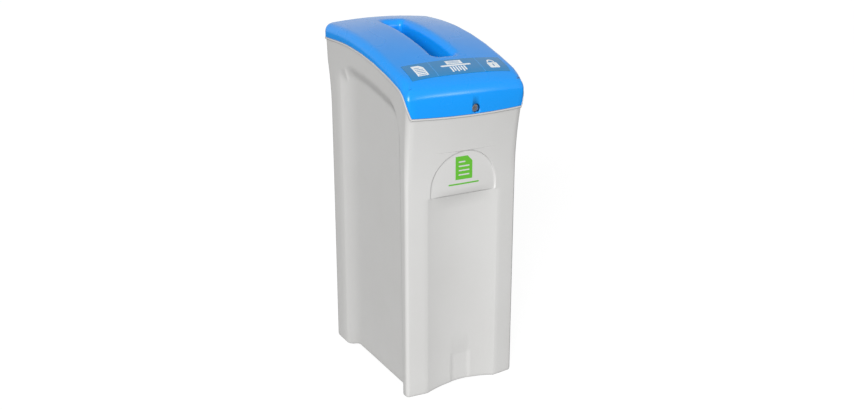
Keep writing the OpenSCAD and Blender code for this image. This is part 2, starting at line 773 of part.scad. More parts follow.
// Bracket behind the front rim, with the ledge that holds the cam down
module strike_plate() {
    y0 = strike_y + seat;
    color(zinc) difference() {
        union() {
            block(strike_x, strike_x + strike_w, y0, y0 + strike_t, plate_low, ledge_z + strike_t);
            block(strike_x, strike_x + strike_w, y0, cam_y + cam_t + 3, ledge_z, ledge_z + strike_t);
        }
        for (d = [-1, 1])
            bar_y(
                strike_x + strike_w / 2 + d * strike_w / 4, screw_z,
                y0 - 1, y0 + strike_t + 1, strike_screw_r + hole_gap
            );
    }
}
module strike_screws() {
    y1 = strike_y + seat + strike_t + seat;
    color(steel) for (d = [-1, 1]) {
        x = strike_x + strike_w / 2 + d * strike_w / 4;
        difference() {
            union() {
                bar_y(x, screw_z, strike_y - 3.2, y1 + weld, strike_screw_r);
                bar_y(x, screw_z, y1, y1 + 2, 3.6);
            }
            block(x - 2.4, x + 2.4, y1 + 1.2, y1 + 3, screw_z - 0.5, screw_z + 0.5);
            block(x - 0.5, x + 0.5, y1 + 1.2, y1 + 3, screw_z - 2.4, screw_z + 2.4);
        }
    }
}

// Leaves on the body's rear wall, each with the middle knuckle
module body_hinge_leaves() {
    color(steel) for (s = [-1, 1]) translate([s * hinge_x, 0, 0]) difference() {
        union() {
            block(
                -leaf_w / 2, leaf_w / 2, body_leaf_y, body_leaf_y + leaf_t,
                axis_z + 2 - body_leaf_h, axis_z + 2
            );
            block(
                -knuckle_w / 2, knuckle_w / 2, body_leaf_y, axis_y,
                axis_z - 2.5, axis_z + 2
            );
            bar_x(-knuckle_w / 2, knuckle_w / 2, axis_y, axis_z, knuckle_r);
        }
        bar_x(-knuckle_w, knuckle_w, axis_y, axis_z, bore_r);
        for (d = [-1, 1])
            bar_y(d * bolt_dx, body_bolt_z, body_leaf_y - 1, body_leaf_y + 4, bolt_r + hole_gap);
    }
}
// Leaves on the lid's rear, each with the outer knuckles and their stop heels
module lid_hinge_leaves() {
    x0 = knuckle_w / 2 + knuckle_gap;
    heel = axis_y - body_leaf_y - leaf_t - 0.2;
    color(steel) for (s = [-1, 1]) translate([s * hinge_x, 0, 0]) difference() {
        union() {
            block(
                -leaf_w / 2, leaf_w / 2, lid_leaf_y, lid_leaf_y + leaf_t,
                rim_h + 2, rim_h + lid_leaf_h
            );
            for (x = [x0, -x0 - outer_knuckle])
                translate([x, axis_y, axis_z]) rotate([90, 0, 90])
                    linear_extrude(outer_knuckle) difference() {
                        union() {
                            translate([jog_y - axis_y, -0.5])
                                square([leaf_t, rim_h + 6.5 - axis_z]);
                            circle(r = knuckle_r);
                            rotate(lid_open) translate([-heel, -4]) square([heel, 4]);
                        }
                        circle(r = bore_r);
                    }
        }
        for (d = [-1, 1])
            bar_y(d * bolt_dx, lid_bolt_z, lid_leaf_y - 1, lid_leaf_y + 4, bolt_r + hole_gap);
    }
}
module hinge_pins() {
    color(steel) for (s = [-1, 1]) translate([s * hinge_x, 0, 0]) difference() {
        union() {
            bar_x(-leaf_w / 2 - 1, leaf_w / 2 + 3.5, axis_y, axis_z, pin_r);
            bar_x(-leaf_w / 2 - 2.2, -leaf_w / 2 - 0.3, axis_y, axis_z, pin_r + 1.2);
        }
        difference() {
            bar_x(leaf_w / 2 + 1, leaf_w / 2 + 2.1, axis_y, axis_z, pin_r + 1);
            bar_x(leaf_w / 2 + 0.9, leaf_w / 2 + 2.2, axis_y, axis_z, pin_r - 0.6);
        }
    }
}
// Open clips in the pins' grooves
module hinge_pin_clips() {
    color(zinc) for (s = [-1, 1]) translate([s * hinge_x + leaf_w / 2, axis_y, axis_z])
        difference() {
            bar_x(1.15, 1.95, 0, 0, pin_r + 1.8);
            bar_x(1, 2.1, 0, 0, pin_r - 0.5);
            block(1, 2.1, -1.4, 1.4, -pin_r - 3, 0);
        }
}

// A bolt through from y0 on the outside to y1 on the inside
module bolt(x, z, y_head, y_tip) {
    difference() {
        union() {
            bar_y(x, z, y_tip, y_head + weld, bolt_r);
            bar_y(x, z, y_head, y_head + bolt_head_h, bolt_head_r);
        }
        hex_y(x, z, y_head + bolt_head_h - 1.6, y_head + bolt_head_h + 1, 3, 0);
    }
}
module body_leaf_bolts() {
    color(zinc) for (s = [-1, 1], d = [-1, 1])
        bolt(
            s * hinge_x + d * bolt_dx, body_bolt_z,
            body_leaf_y + leaf_t + seat, wall_back - body_wall - nut_h - 1.5
        );
}
module lid_leaf_bolts() {
    color(zinc) for (s = [-1, 1], d = [-1, 1])
        bolt(
            s * hinge_x + d * bolt_dx, lid_bolt_z,
            lid_leaf_y + leaf_t + seat, lid_back - lid_wall - nut_h - 1.5
        );
}
module nut_set(z, y) {
    for (s = [-1, 1], d = [-1, 1])
        hex_y(s * hinge_x + d * bolt_dx, z, y - nut_h - seat, y - seat, 8, bolt_r + 0.03);
}
module body_leaf_nuts() {
    color(zinc) nut_set(body_bolt_z, wall_back - body_wall);
}
module lid_leaf_nuts() {
    color(zinc) nut_set(lid_bolt_z, lid_back - lid_wall);
}

// Lift-out liner of folded sheet with a hem, drilled for the ears' rivets
module round_box(hw, y0, y1, r) {
    translate([-hw + r, y0 + r]) circle(r = r);
    translate([hw - r, y0 + r]) circle(r = r);
    translate([-hw + r, y1 - r]) circle(r = r);
    translate([hw - r, y1 - r]) circle(r = r);
    translate([-hw + r, y0]) square([2 * (hw - r), y1 - y0]);
    translate([-hw, y0 + r]) square([2 * hw, y1 - y0 - 2 * r]);
}
module liner_plan(g) {
    round_box(liner_hw + g, liner_y0 - g, liner_y1 + g, liner_corner_r + g);
}
module paper_liner() {
    color(steel) difference() {
        union() {
            translate([0, 0, liner_z]) linear_extrude(liner_h) liner_plan(0);
            translate([0, 0, hem_z - liner_t]) linear_extrude(liner_t) liner_plan(hem_out);
            translate([0, 0, hem_z - hem_h]) linear_extrude(hem_h) difference() {
                liner_plan(hem_out);
                liner_plan(hem_out - liner_t);
            }
        }
        translate([0, 0, liner_z + liner_t]) linear_extrude(liner_h) liner_plan(-liner_t);
        for (s = [-1, 1], d = [-1, 1]) {
            bar_y(s * rivet_x, pivot_z + d * 5, liner_y0 - 1, liner_y0 + 2, rivet_r + hole_gap);
            bar_y(s * rivet_x, pivot_z + d * 5, liner_y1 - 2, liner_y1 + 1, rivet_r + hole_gap);
        }
    }
}
// Ends of the liner: way is 1 at the front and -1 at the rear
module at_ends() {
    for (w = [0, 1]) translate([0, w * (liner_y0 + liner_y1), 0]) mirror([0, w, 0])
        for (m = [0, 1]) mirror([m, 0, 0]) children();
}
module bail_ears() {
    y0 = liner_y0 + liner_t + seat;
    color(zinc) at_ends() difference() {
        union() {
            block(lug_x, rivet_x + 6, y0, y0 + ear_t, pivot_z - 10, pivot_z + 10);
            block(lug_x, lug_x + ear_t, y0, front_pivot_y, pivot_z - 5, pivot_z + 5);
            bar_x(lug_x, lug_x + ear_t, front_pivot_y, pivot_z, 5);
        }
        bar_x(lug_x - 1, lug_x + ear_t + 1, front_pivot_y, pivot_z, wire_r + 0.05);
        for (d = [-1, 1])
            bar_y(rivet_x, pivot_z + d * 5, y0 - 1, y0 + ear_t + 1, rivet_r + hole_gap);
    }
}
module ear_rivets() {
    y0 = liner_y0 - seat;
    y1 = liner_y0 + liner_t + seat + ear_t + seat;
    color(steel) at_ends() for (d = [-1, 1]) {
        bar_y(rivet_x, pivot_z + d * 5, y0 - 0.5, y1 + 0.5, rivet_r);
        bar_y(rivet_x, pivot_z + d * 5, y0 - 1.2, y0, rivet_r + 1.4);
        bar_y(rivet_x, pivot_z + d * 5, y1, y1 + 1.2, rivet_r + 1.4);
    }
}

// Wire bail hanging from its pivots, its ends bent out through the ears
module bend(x, z, a, r) {
    translate([x, 0, z]) rotate([90, 0, 0]) rotate([0, 0, a])
        rotate_extrude(angle = 90) translate([r, 0]) circle(r = wire_r);
}
module bail(y) {
    low = pivot_z - bail_len + bail_bend_r;
    high = pivot_z - tip_bend_r;
    translate([0, y, 0]) {
        for (m = [0, 1]) mirror([m, 0, 0]) {
            bar_x(bail_hw + tip_bend_r, lug_x + ear_t + 3, 0, pivot_z, wire_r);
            bend(bail_hw + tip_bend_r, high, 90, tip_bend_r);
            translate([bail_hw, 0, low]) cylinder(h = high - low, r = wire_r);
            bend(bail_hw - bail_bend_r, low, 270, bail_bend_r);
        }
        bar_x(-bail_hw + bail_bend_r, bail_hw - bail_bend_r, 0, low - bail_bend_r, wire_r);
    }
}
module front_bail() {
    color(steel) bail(front_pivot_y);
}
module rear_bail() {
    color(steel) bail(rear_pivot_y);
}

// Lid with its throat, its locating rib and the lock's pocket
module lid_shell() {
    y_face = lid_front - 4;
    color(lid_blue) difference() {
        union() {
            skin(lid_rings, false);
            difference() {
                bar_y(lock_x, lock_z, lid_front + 1.2, nut_y, pocket_r + pocket_wall);
                block(
                    lock_x - 20, lock_x + 20, y_face, nut_y + 1,
                    lock_z - 30, rim_dip_z + lid_gap + 0.6
                );
            }
        }
        bar_y(lock_x, lock_z, y_face, pocket_y, pocket_r);
        intersection() {
            bar_y(lock_x, lock_z, y_face, nut_y + 4, barrel_r + hole_gap);
            block(
                lock_x - barrel_r + 0.75, lock_x + barrel_r - 0.75,
                y_face, nut_y + 4, lock_z - 10, lock_z + 10
            );
        }
        for (s = [-1, 1], d = [-1, 1])
            bar_y(
                s * hinge_x + d * bolt_dx, lid_bolt_z,
                lid_back - lid_wall - 2, lid_back + 2, bolt_r + hole_gap
            );
    }
}

// Label strip bonded across the lid's slope
label_y0 = -total_d / 2 + label_front;
label_nx = 16;
label_ny = 14;
function label_z(x, y, t) = lid_top(x, y) + (seat + t) * lid_slant(x, y);
module lid_label() {
    n = label_nx + 1;
    row = function (t) [
        for (j = [0 : label_ny], i = [0 : label_nx]) let (
            x = label_hw * (2 * i / label_nx - 1),
            y = label_y0 + label_len * j / label_ny
        ) [x, y, label_z(x, y, t)]
    ];
    b = n * (label_ny + 1);
    top = [
        for (j = [0 : label_ny - 1], i = [0 : label_nx - 1]) let (a = j * n + i)
            each [[a, a + n, a + n + 1], [a, a + n + 1, a + 1]]
    ];
    ring = concat(
        [for (i = [0 : label_nx - 1]) i],
        [for (j = [0 : label_ny - 1]) j * n + label_nx],
        [for (i = [label_nx : -1 : 1]) label_ny * n + i],
        [for (j = [label_ny : -1 : 1]) j * n]
    );
    m = len(ring);
    color(lid_blue) polyhedron(
        concat(row(label_t), row(0)),
        concat(
            top,
            [for (f = top) [f[0] + b, f[2] + b, f[1] + b]],
            [for (k = [0 : m - 1]) let (p = ring[k], q = ring[(k + 1) % m])
                each [[p, q, q + b], [p, q + b, p + b]]]
        )
    );
}

// Cam lock: barrel, washer, nut, keyed plug, cam and its screw
module flats(y0, y1, w) {
    block(lock_x - w, lock_x + w, y0, y1, lock_z - 12, lock_z + 12);
}
module lock_barrel() {
    y0 = pocket_y - seat - flange_t;
    color(steel) difference() {
        union() {
            bar_y(lock_x, lock_z, y0, pocket_y - seat, flange_r);
            intersection() {
                bar_y(lock_x, lock_z, y0 + 0.5, cam_y - 0.3, barrel_r);
                flats(y0, cam_y, barrel_r - 1);
            }
        }
        bar_y(lock_x, lock_z, y0 - 1, cam_y + 1, plug_r + 0.05);
    }
}
module lock_washer() {
    color(zinc) difference() {
        bar_y(lock_x, lock_z, nut_y + seat, nut_y + seat + 0.7, 8.4);
        bar_y(lock_x, lock_z, nut_y, nut_y + 1, barrel_r + 0.1);
    }
}
module lock_nut() {
    color(zinc) hex_y(lock_x, lock_z, nut_y + 1, nut_y + 4.4, 16, barrel_r + 0.05);
}
module tail(y0, y1, w) {
    block(lock_x - w, lock_x + w, y0, y1, lock_z - w, lock_z + w);
}
module lock_plug() {
    y0 = pocket_y - seat - flange_t - 0.3;
    color(steel) difference() {
        union() {
            bar_y(lock_x, lock_z, y0, cam_y - 0.1, plug_r);
            tail(cam_y - 1, cam_y + cam_t, 2.9);
        }
        block(lock_x - 0.6, lock_x + 0.6, y0 - 1, cam_y - 4, lock_z - 2.6, lock_z + 2.6);
        bar_y(lock_x, lock_z, cam_y - 3, cam_y + cam_t + 1, 1.53);
    }
}
module lock_cam() {
    color(zinc) difference() {
        union() {
            bar_y(lock_x, lock_z, cam_y, cam_y + cam_t, cam_w / 2);
            block(
                lock_x - cam_w / 2, lock_x + cam_w / 2, cam_y, cam_y + cam_t,
                lock_z - cam_len, lock_z
            );
        }
        tail(cam_y - 1, cam_y + cam_t + 1, 3);
    }
}
module cam_screw() {
    y1 = cam_y + cam_t + seat;
    color(steel) difference() {
        union() {
            bar_y(lock_x, lock_z, cam_y - 2.8, y1 + weld, 1.5);
            bar_y(lock_x, lock_z, y1, y1 + 2.2, 4.2);
        }
        block(lock_x - 3, lock_x + 3, y1 + 1.3, y1 + 3, lock_z - 0.5, lock_z + 0.5);
    }
}

body_shell();
strike_plate();
strike_screws();
body_hinge_leaves();
body_leaf_bolts();
body_leaf_nuts();
hinge_pins();
hinge_pin_clips();
paper_liner();
bail_ears();
ear_rivets();
front_bail();
rear_bail();
lid_shell();
lid_label();
lid_hinge_leaves();
lid_leaf_bolts();
lid_leaf_nuts();
lock_barrel();
lock_washer();
lock_nut();
lock_plug();
lock_cam();
cam_screw();
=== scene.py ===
"""Looks of the secure shredding console: its moulded skins, label, sign, finishes and studio.

Lengths are in millimetres up to the point where a mesh is made, and the shapes of the skins
follow the same curves as the solids that they stand for."""
import math

import bmesh
import bpy
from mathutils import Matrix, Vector


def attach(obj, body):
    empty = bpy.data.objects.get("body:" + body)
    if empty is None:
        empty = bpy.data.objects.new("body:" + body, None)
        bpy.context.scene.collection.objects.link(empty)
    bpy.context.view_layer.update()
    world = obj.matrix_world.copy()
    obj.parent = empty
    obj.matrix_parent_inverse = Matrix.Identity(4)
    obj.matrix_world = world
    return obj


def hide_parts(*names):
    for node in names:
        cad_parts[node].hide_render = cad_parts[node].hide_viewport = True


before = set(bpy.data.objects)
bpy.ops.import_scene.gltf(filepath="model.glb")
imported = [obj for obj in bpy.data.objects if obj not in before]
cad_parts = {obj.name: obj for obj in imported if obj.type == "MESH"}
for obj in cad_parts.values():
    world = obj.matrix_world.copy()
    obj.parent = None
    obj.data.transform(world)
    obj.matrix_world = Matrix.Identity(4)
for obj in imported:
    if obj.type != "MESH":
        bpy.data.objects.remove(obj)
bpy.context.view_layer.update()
MM = 0.001

# ---------------------------------------------------------------- sizes of the bin
BODY_W, TOTAL_D, TOTAL_H, RIM_H = 306.0, 462.0, 838.0, 798.5
RIM_LONG_R, RIM_SHORT_R, RIM_LEVEL, RIM_DIP = 916.0, 64.0, 71.0, 4.0
FRONT_BULGE, LIP_H, LIP_OUT, WALL = 8.5, 5.0, 3.5, 3.5
SIDE_FLARE, FRONT_FLARE, REAR_FLARE, FLARE_H = 3.5, 17.0, 12.5, 175.0
FOOT_SPREAD, WAIST_H, FRONT_CORNER_R, REAR_CORNER_R = 1.0, 450.0, 8.0, 23.0
FOOT_R, UNDERSIDE_H, FLOOR_T, PANEL_LIFT, CHANNEL_LIFT = 8.0, 24.0, 4.0, 18.0, 9.0
PANEL_DEPTH, PANEL_DROP, PANEL_FADE, PANEL_CORNER_R = 10.0, 45.0, 34.0, 42.0
COLUMN_TOP, COLUMN_FOOT, COLUMN_REAR, REAR_FLANK, FRONT_FLANK = 31.0, 17.0, 72.0, 34.0, 6.0
CHANNEL_HW, CHANNEL_DEPTH, CHANNEL_H, CHANNEL_SLOPE = 93.0, 11.0, 488.0, 5.0
ARCH_HW, ARCH_SPRING_H, ARCH_RISE, PAD_DEPTH = 84.5, 500.0, 89.0, 2.5
LID_WALL, LID_GAP, LID_INSET, LID_CROWN, NOSE_CROWN = 3.0, 0.6, 1.3, 9.5, 4.0
LID_LONG_R, LID_NOSE_R, LID_NOSE, LID_LEVEL = 903.0, 109.0, 49.0, 49.5
SIDE_SHOULDER_R, REAR_SHOULDER_R, FRONT_SHOULDER_R = 18.5, 10.5, 10.0
RIB_H, RIB_T, RIB_GAP = 6.0, 2.5, 2.5
SLOT_W, SLOT_FRONT, SLOT_LEN, SLOT_ROLL_R = 52.0, 114.0, 256.0, 18.0
SLOT_CORNER_R, THROAT_H = 10.0, 735.0
LABEL_HW, LABEL_LEN, LABEL_FRONT, LABEL_T = 126.0, 53.0, 33.0, 0.5
KNUCKLE_R, LEAF_H = 5.5, 48.0
LOCK_X, LOCK_RISE, POCKET_R, POCKET_DEPTH, POCKET_FLOOR = 16.5, 12.0, 10.4, 8.0, 4.0
BARREL_R = 6.5
NOTCH_HW, NOTCH_H, NOTCH_DEPTH = 25.0, 88.0, 1.6
FOOT_RISE_FRONT, FOOT_RISE_REAR, BELOW_FLARE = 14.0, 60.0, 800.0
SHIFT_FROM, SHIFT_OVER, ARCH_STEP, ARCH_CLOSE = 20.0, 15.0, 2.5, 0.997
OUTER_BLEND, INNER_BLEND, STEEP_MAX = 84, 80, 2.4
NOSE_BLEND_Y, NOSE_BLEND, THROAT_MID_H = -120.0, 80.0, 752.0
CUP_START, CUP_RIM, PRINT_LIFT = 1.6, 2.5, 0.1

HALF_W = BODY_W / 2
FRONT_Y = -(TOTAL_D / 2 - FRONT_BULGE)
BACK_Y = TOTAL_D / 2 - 2 * KNUCKLE_R - 1
WAIST_HW = HALF_W - LIP_OUT - SIDE_FLARE
WAIST_FRONT = -FRONT_Y - LIP_OUT - FRONT_FLARE
WAIST_BACK = BACK_Y - LIP_OUT - REAR_FLARE
HINGE_ZONE = LEAF_H + 8

RIM_LEVEL_Y = BACK_Y - RIM_LEVEL
RIM_LONG_Z = RIM_H - RIM_LONG_R
RIM_SHORT_Y = FRONT_Y + RIM_SHORT_R
RIM_SHORT_Z = RIM_LONG_Z + math.sqrt(
    (RIM_LONG_R - RIM_SHORT_R) ** 2 - (RIM_LEVEL_Y - RIM_SHORT_Y) ** 2
)
RIM_JOIN_Y = RIM_LEVEL_Y + (RIM_SHORT_Y - RIM_LEVEL_Y) * RIM_LONG_R / (RIM_LONG_R - RIM_SHORT_R)
FRONT_RIM_Z = RIM_SHORT_Z
RIM_DIP_Z = FRONT_RIM_Z - RIM_DIP
LOCK_Z = RIM_DIP_Z + LID_GAP + LOCK_RISE
LID_FRONT = FRONT_Y - FRONT_BULGE + LID_INSET


def clamp(v):
    return min(1.0, max(0.0, v))


def mix(a, b, t):
    return a + (b - a) * t


def smooth(t):
    t = clamp(t)
    return t * t * (3 - 2 * t)


def bulge(x, hw):
    return FRONT_BULGE * (1 - (x / hw) ** 2)


def rim_height(x, y):
    if y >= RIM_LEVEL_Y:
        return RIM_H
    if y >= RIM_JOIN_Y:
        return RIM_LONG_Z + math.sqrt(RIM_LONG_R ** 2 - (RIM_LEVEL_Y - y) ** 2)
    if y > FRONT_Y:
        return RIM_SHORT_Z + math.sqrt(RIM_SHORT_R ** 2 - (y - RIM_SHORT_Y) ** 2)
    return FRONT_RIM_Z - RIM_DIP * (1 - (x / HALF_W) ** 2)


# ---------------------------------------------------------------- outline of the body
# Stations run along half of the outline, from the middle of the front to the middle of the rear
PAD_EDGE, EDGE, CORNER, COLUMN, FLANK, PANEL = 10, 12, 14, 18, 22, 23
PANEL_END, FLANK_END, REAR, BACK, LAST = 32, 33, 34, 39, 42
ARCH_TOP_Z = ARCH_SPRING_H + ARCH_CLOSE * ARCH_RISE
ABOVE_ARCH_Z = ARCH_TOP_Z + 1.5


def station_marks():
    """Stations of a row: each run is its first station, its last one and its number of steps."""
    runs = [
        (0, PAD_EDGE, 20), (PAD_EDGE, 11, 5), (11, EDGE, 8), (EDGE, CORNER, 4),
        (CORNER, COLUMN, 14), (COLUMN, FLANK, 5), (FLANK, PANEL, 7), (PANEL, 26, 10), (26, 29, 3),
        (29, PANEL_END, 10), (PANEL_END, FLANK_END, 8), (FLANK_END, REAR, 2), (REAR, BACK, 16),
        (BACK, LAST, 4),
    ]
    marks = [a + (b - a) * k / n for a, b, n in runs for k in range(n)]
    return marks + [float(LAST)]


MARKS = station_marks()


def flare(u, level=0.0):
    return clamp(1 - (u - level) / (FLARE_H - level)) ** 2


def spread(z):
    return FOOT_SPREAD * clamp(1 - z / WAIST_H)


def wall_level(z, u):
    s = spread(z)
    front_column = -(WAIST_FRONT - mix(COLUMN_FOOT, COLUMN_TOP, clamp(z / RIM_H)))
    rear_column = WAIST_BACK - COLUMN_REAR
    return (
        WAIST_HW + SIDE_FLARE * flare(u) + s,
        WAIST_FRONT + FRONT_FLARE * flare(u) + s,
        WAIST_BACK + REAR_FLARE * flare(u, HINGE_ZONE) + s,
        front_column, front_column + FRONT_FLANK, rear_column - REAR_FLANK, rear_column,
    )


def panel_station(j, v):
    marks = (0, 0.18, 0.5, 1)
    if j < 4:
        return v[4] + PANEL_CORNER_R * marks[j]
    if j > 5:
        return v[5] - PANEL_CORNER_R * marks[9 - j]
    return mix(v[4] + PANEL_CORNER_R, v[5] - PANEL_CORNER_R, (j - 3) / 3)


def panel_y(s, v):
    j = s - PANEL
    low = min(8, int(j))
    return mix(panel_station(low, v), panel_station(low + 1, v), j - low)


def corner_angle(s):
    """Way that the outline faces at a station of its front or rear corner."""
    if s <= COLUMN:
        return math.radians(-90 + 90 * (s - CORNER) / (COLUMN - CORNER))
    return math.radians(90 * (s - REAR) / (BACK - REAR))


def plan_point(s, v, o, front_x):
    hw, df, dr = v[0] + o, v[1] + o, v[2] + o
    rf, rr = max(1.0, FRONT_CORNER_R + o), max(1.0, REAR_CORNER_R + o)
    if s <= EDGE:
        return front_x, -df - bulge(front_x, hw)
    if s < CORNER:
        x = mix(CHANNEL_HW, hw - rf, (s - EDGE) / (CORNER - EDGE))
        return x, -df - bulge(x, hw)
    if s <= COLUMN:
        a = corner_angle(s)
        x = hw - rf + rf * math.cos(a)
        return x, -df + rf + rf * math.sin(a) - bulge(x, hw)
    if s <= FLANK:
        return hw, mix(-df + rf, v[3], (s - COLUMN) / (FLANK - COLUMN))
    if s < PANEL:
        return hw, mix(v[3], v[4], s - FLANK)
    if s <= PANEL_END:
        return hw, panel_y(s, v)
    if s <= FLANK_END:
        return hw, mix(v[5], v[6], s - PANEL_END)
    if s < REAR:
        return hw, mix(v[6], dr - rr, s - FLANK_END)
    if s <= BACK:
        a = corner_angle(s)
        return hw - rr + rr * math.cos(a), dr - rr + rr * math.sin(a)
    return (hw - rr) * (1 - (s - BACK) / (LAST - BACK)), dr


def even_x(s):
    return CHANNEL_HW * s / EDGE


LIP_LEVEL = (
    HALF_W - LIP_OUT, -FRONT_Y - LIP_OUT, BACK_Y - LIP_OUT,
    -(WAIST_FRONT - COLUMN_TOP), -(WAIST_FRONT - COLUMN_TOP) + FRONT_FLANK,
    WAIST_BACK - COLUMN_REAR - REAR_FLANK, WAIST_BACK - COLUMN_REAR,
)
_lip = {}


def lip_point(s):
    if s not in _lip:
        x, y = plan_point(s, LIP_LEVEL, LIP_OUT, even_x(s))
        z = rim_height(x, FRONT_Y) if s <= CORNER else max(
            rim_height(x, y + bulge(x, HALF_W)), FRONT_RIM_Z
        )
        _lip[s] = (x, y, z)
    return _lip[s]


def steep_table():
    """How much longer the rim's slope is than its run, at each station of the sides."""
    table = []
    for i in range(LAST + 1):
        if i < CORNER or i > FLANK:
            table.append(1.0)
            continue
        a, b = lip_point(i - 1), lip_point(i + 1)
        run = math.hypot(b[0] - a[0], b[1] - a[1])
        table.append(min(STEEP_MAX, math.sqrt(1 + ((b[2] - a[2]) / run) ** 2)))
    return table


STEEP = steep_table()
WAY = [
    -(i - COLUMN) / (FLANK - COLUMN) if COLUMN < i <= FLANK else -1.0 if i == PANEL
    else 0.4 if i in (PANEL_END, FLANK_END) else 0.0
    for i in range(LAST + 1)
]


def from_table(table, s):
    low = min(LAST - 1, int(s))
    return mix(table[low], table[low + 1], s - low)


# ---------------------------------------------------------------- recesses of the body
CHANNEL_R = (CHANNEL_HW ** 2 + CHANNEL_DEPTH ** 2) / (2 * CHANNEL_DEPTH)


def channel_in(x, z):
    x = min(abs(x), CHANNEL_HW)
    notch = NOTCH_DEPTH * smooth((NOTCH_HW - x) / 3) * smooth((NOTCH_H - z) / 5)
    return math.sqrt(CHANNEL_R ** 2 - x * x) - (CHANNEL_R - CHANNEL_DEPTH) + notch


def arch_half(z):
    return ARCH_HW * math.sqrt(1 - clamp((z - ARCH_SPRING_H) / ARCH_RISE) ** 2)


def arch_x(s, z, m):
    half = arch_half(z) + m
    if s <= PAD_EDGE:
        return half * s / PAD_EDGE
    if s <= PAD_EDGE + 1:
        return half + ARCH_STEP * (s - PAD_EDGE)
    if s <= EDGE:
        return mix(half + ARCH_STEP, CHANNEL_HW, s - PAD_EDGE - 1)
    return CHANNEL_HW


def pad_in(s, z, u):
    if s >= PAD_EDGE + 1:
        return 0.0
    depth = PAD_DEPTH + FRONT_FLARE * flare(u) + spread(z)
    return depth * (1 - smooth(s - PAD_EDGE))


def panel_in(s, y, v, u):
    if s <= FLANK or s >= FLANK_END:
        return 0.0
    front, rear = (1 - clamp(gap / PANEL_CORNER_R) for gap in (y - v[4], v[5] - y))
    turn = PANEL_CORNER_R * (1 - math.sqrt(1 - front ** 2) + 0.4 * (1 - math.sqrt(1 - rear ** 2)))
    share = smooth(s - FLANK) if s < PANEL else 1.0
    cove = 1 - (1 - clamp((v[6] - y) / (REAR_FLANK + PANEL_CORNER_R))) ** 2
    return share * cove * PANEL_DEPTH * smooth((u - PANEL_DROP - turn) / PANEL_FADE)


def wall_point(s, zone, z, o, inner, z_arch=None):
    """A point of a body wall. zone: 0 the channel, 1 the arched pad, 2 above the pad, and in
    between the sloping step at the channel's top."""
    m = inner * 0.7 * WALL
    x_even = even_x(s)
    x_arch = arch_x(s, z_arch if z_arch is not None else z, m) if zone > 0 else x_even
    front_x = x_even if zone >= 2 else mix(x_even, x_arch, min(1.0, zone))
    u = (rim_height(front_x, FRONT_Y) if s <= EDGE else lip_point(s)[2]) - z
    v = wall_level(z, u)
    x, y = plan_point(s, v, o, front_x)
    depth = 0.0
    if s <= EDGE and zone < 2:
        depth = pad_in(s, z, u)
        if zone < 1:
            depth = mix(channel_in(x, z), depth, smooth(zone))
    shift = WALL * clamp((u - SHIFT_FROM) / SHIFT_OVER) if inner else max(0.0, -0.4 * o)
    side = panel_in(s, y, v, u + inner * WALL)
    return x - side, y + depth + shift * from_table(WAY, s), z


def full(points):
    mirrored = [(-x, y, z) for x, y, z in reversed(points[1:-1])]
    return points + mirrored


def height_row(z_front, zone, o, inner, z_arch=None):
    """Row at a height across the front that follows the rim along the sides."""
    z = z_front + inner * WALL
    return full([
        wall_point(s, zone, z if s <= CORNER else z * lip_point(s)[2] / FRONT_RIM_Z, o, inner,
                   z_arch if z_arch is not None else z_front)
        for s in MARKS
    ])


def depth_row(u, o, inner, follow=False):
    """Row at a depth below the rim."""
    return full([
        wall_point(s, 2, lip_point(s)[2] - u * (from_table(STEEP, s) if follow else 1), o, inner)
        for s in MARKS
    ])


def between_row(t, u, o, inner):
    """Row between the one that closes the arch and the depth u."""
    z = ABOVE_ARCH_Z + inner * WALL
    points = []
    for s in MARKS:
        rim = lip_point(s)[2]
        low = z if s <= CORNER else z * rim / FRONT_RIM_Z
        points.append(wall_point(s, 2, mix(low, rim - u, t), o, inner))
    return full(points)


def foot_row(z, o, inner, lift):
    """Row at the foot, raised between the four feet by a share of the full lift."""
    points = []
    for s in MARKS:
        if s < EDGE:
            raised = CHANNEL_LIFT * (1 - (s / EDGE) ** 2)
        elif FLANK < s < FLANK_END:
            v = wall_level(z, BELOW_FLARE)
            y = plan_point(s, v, 0, 0)[1]
            rise, fall = smooth((y - v[3]) / FOOT_RISE_FRONT), smooth((v[6] - y) / FOOT_RISE_REAR)
            raised = PANEL_LIFT * rise * fall
        else:
            raised = 0.0
        points.append(wall_point(s, 0, z + lift * raised, o, inner))
    return full(points)


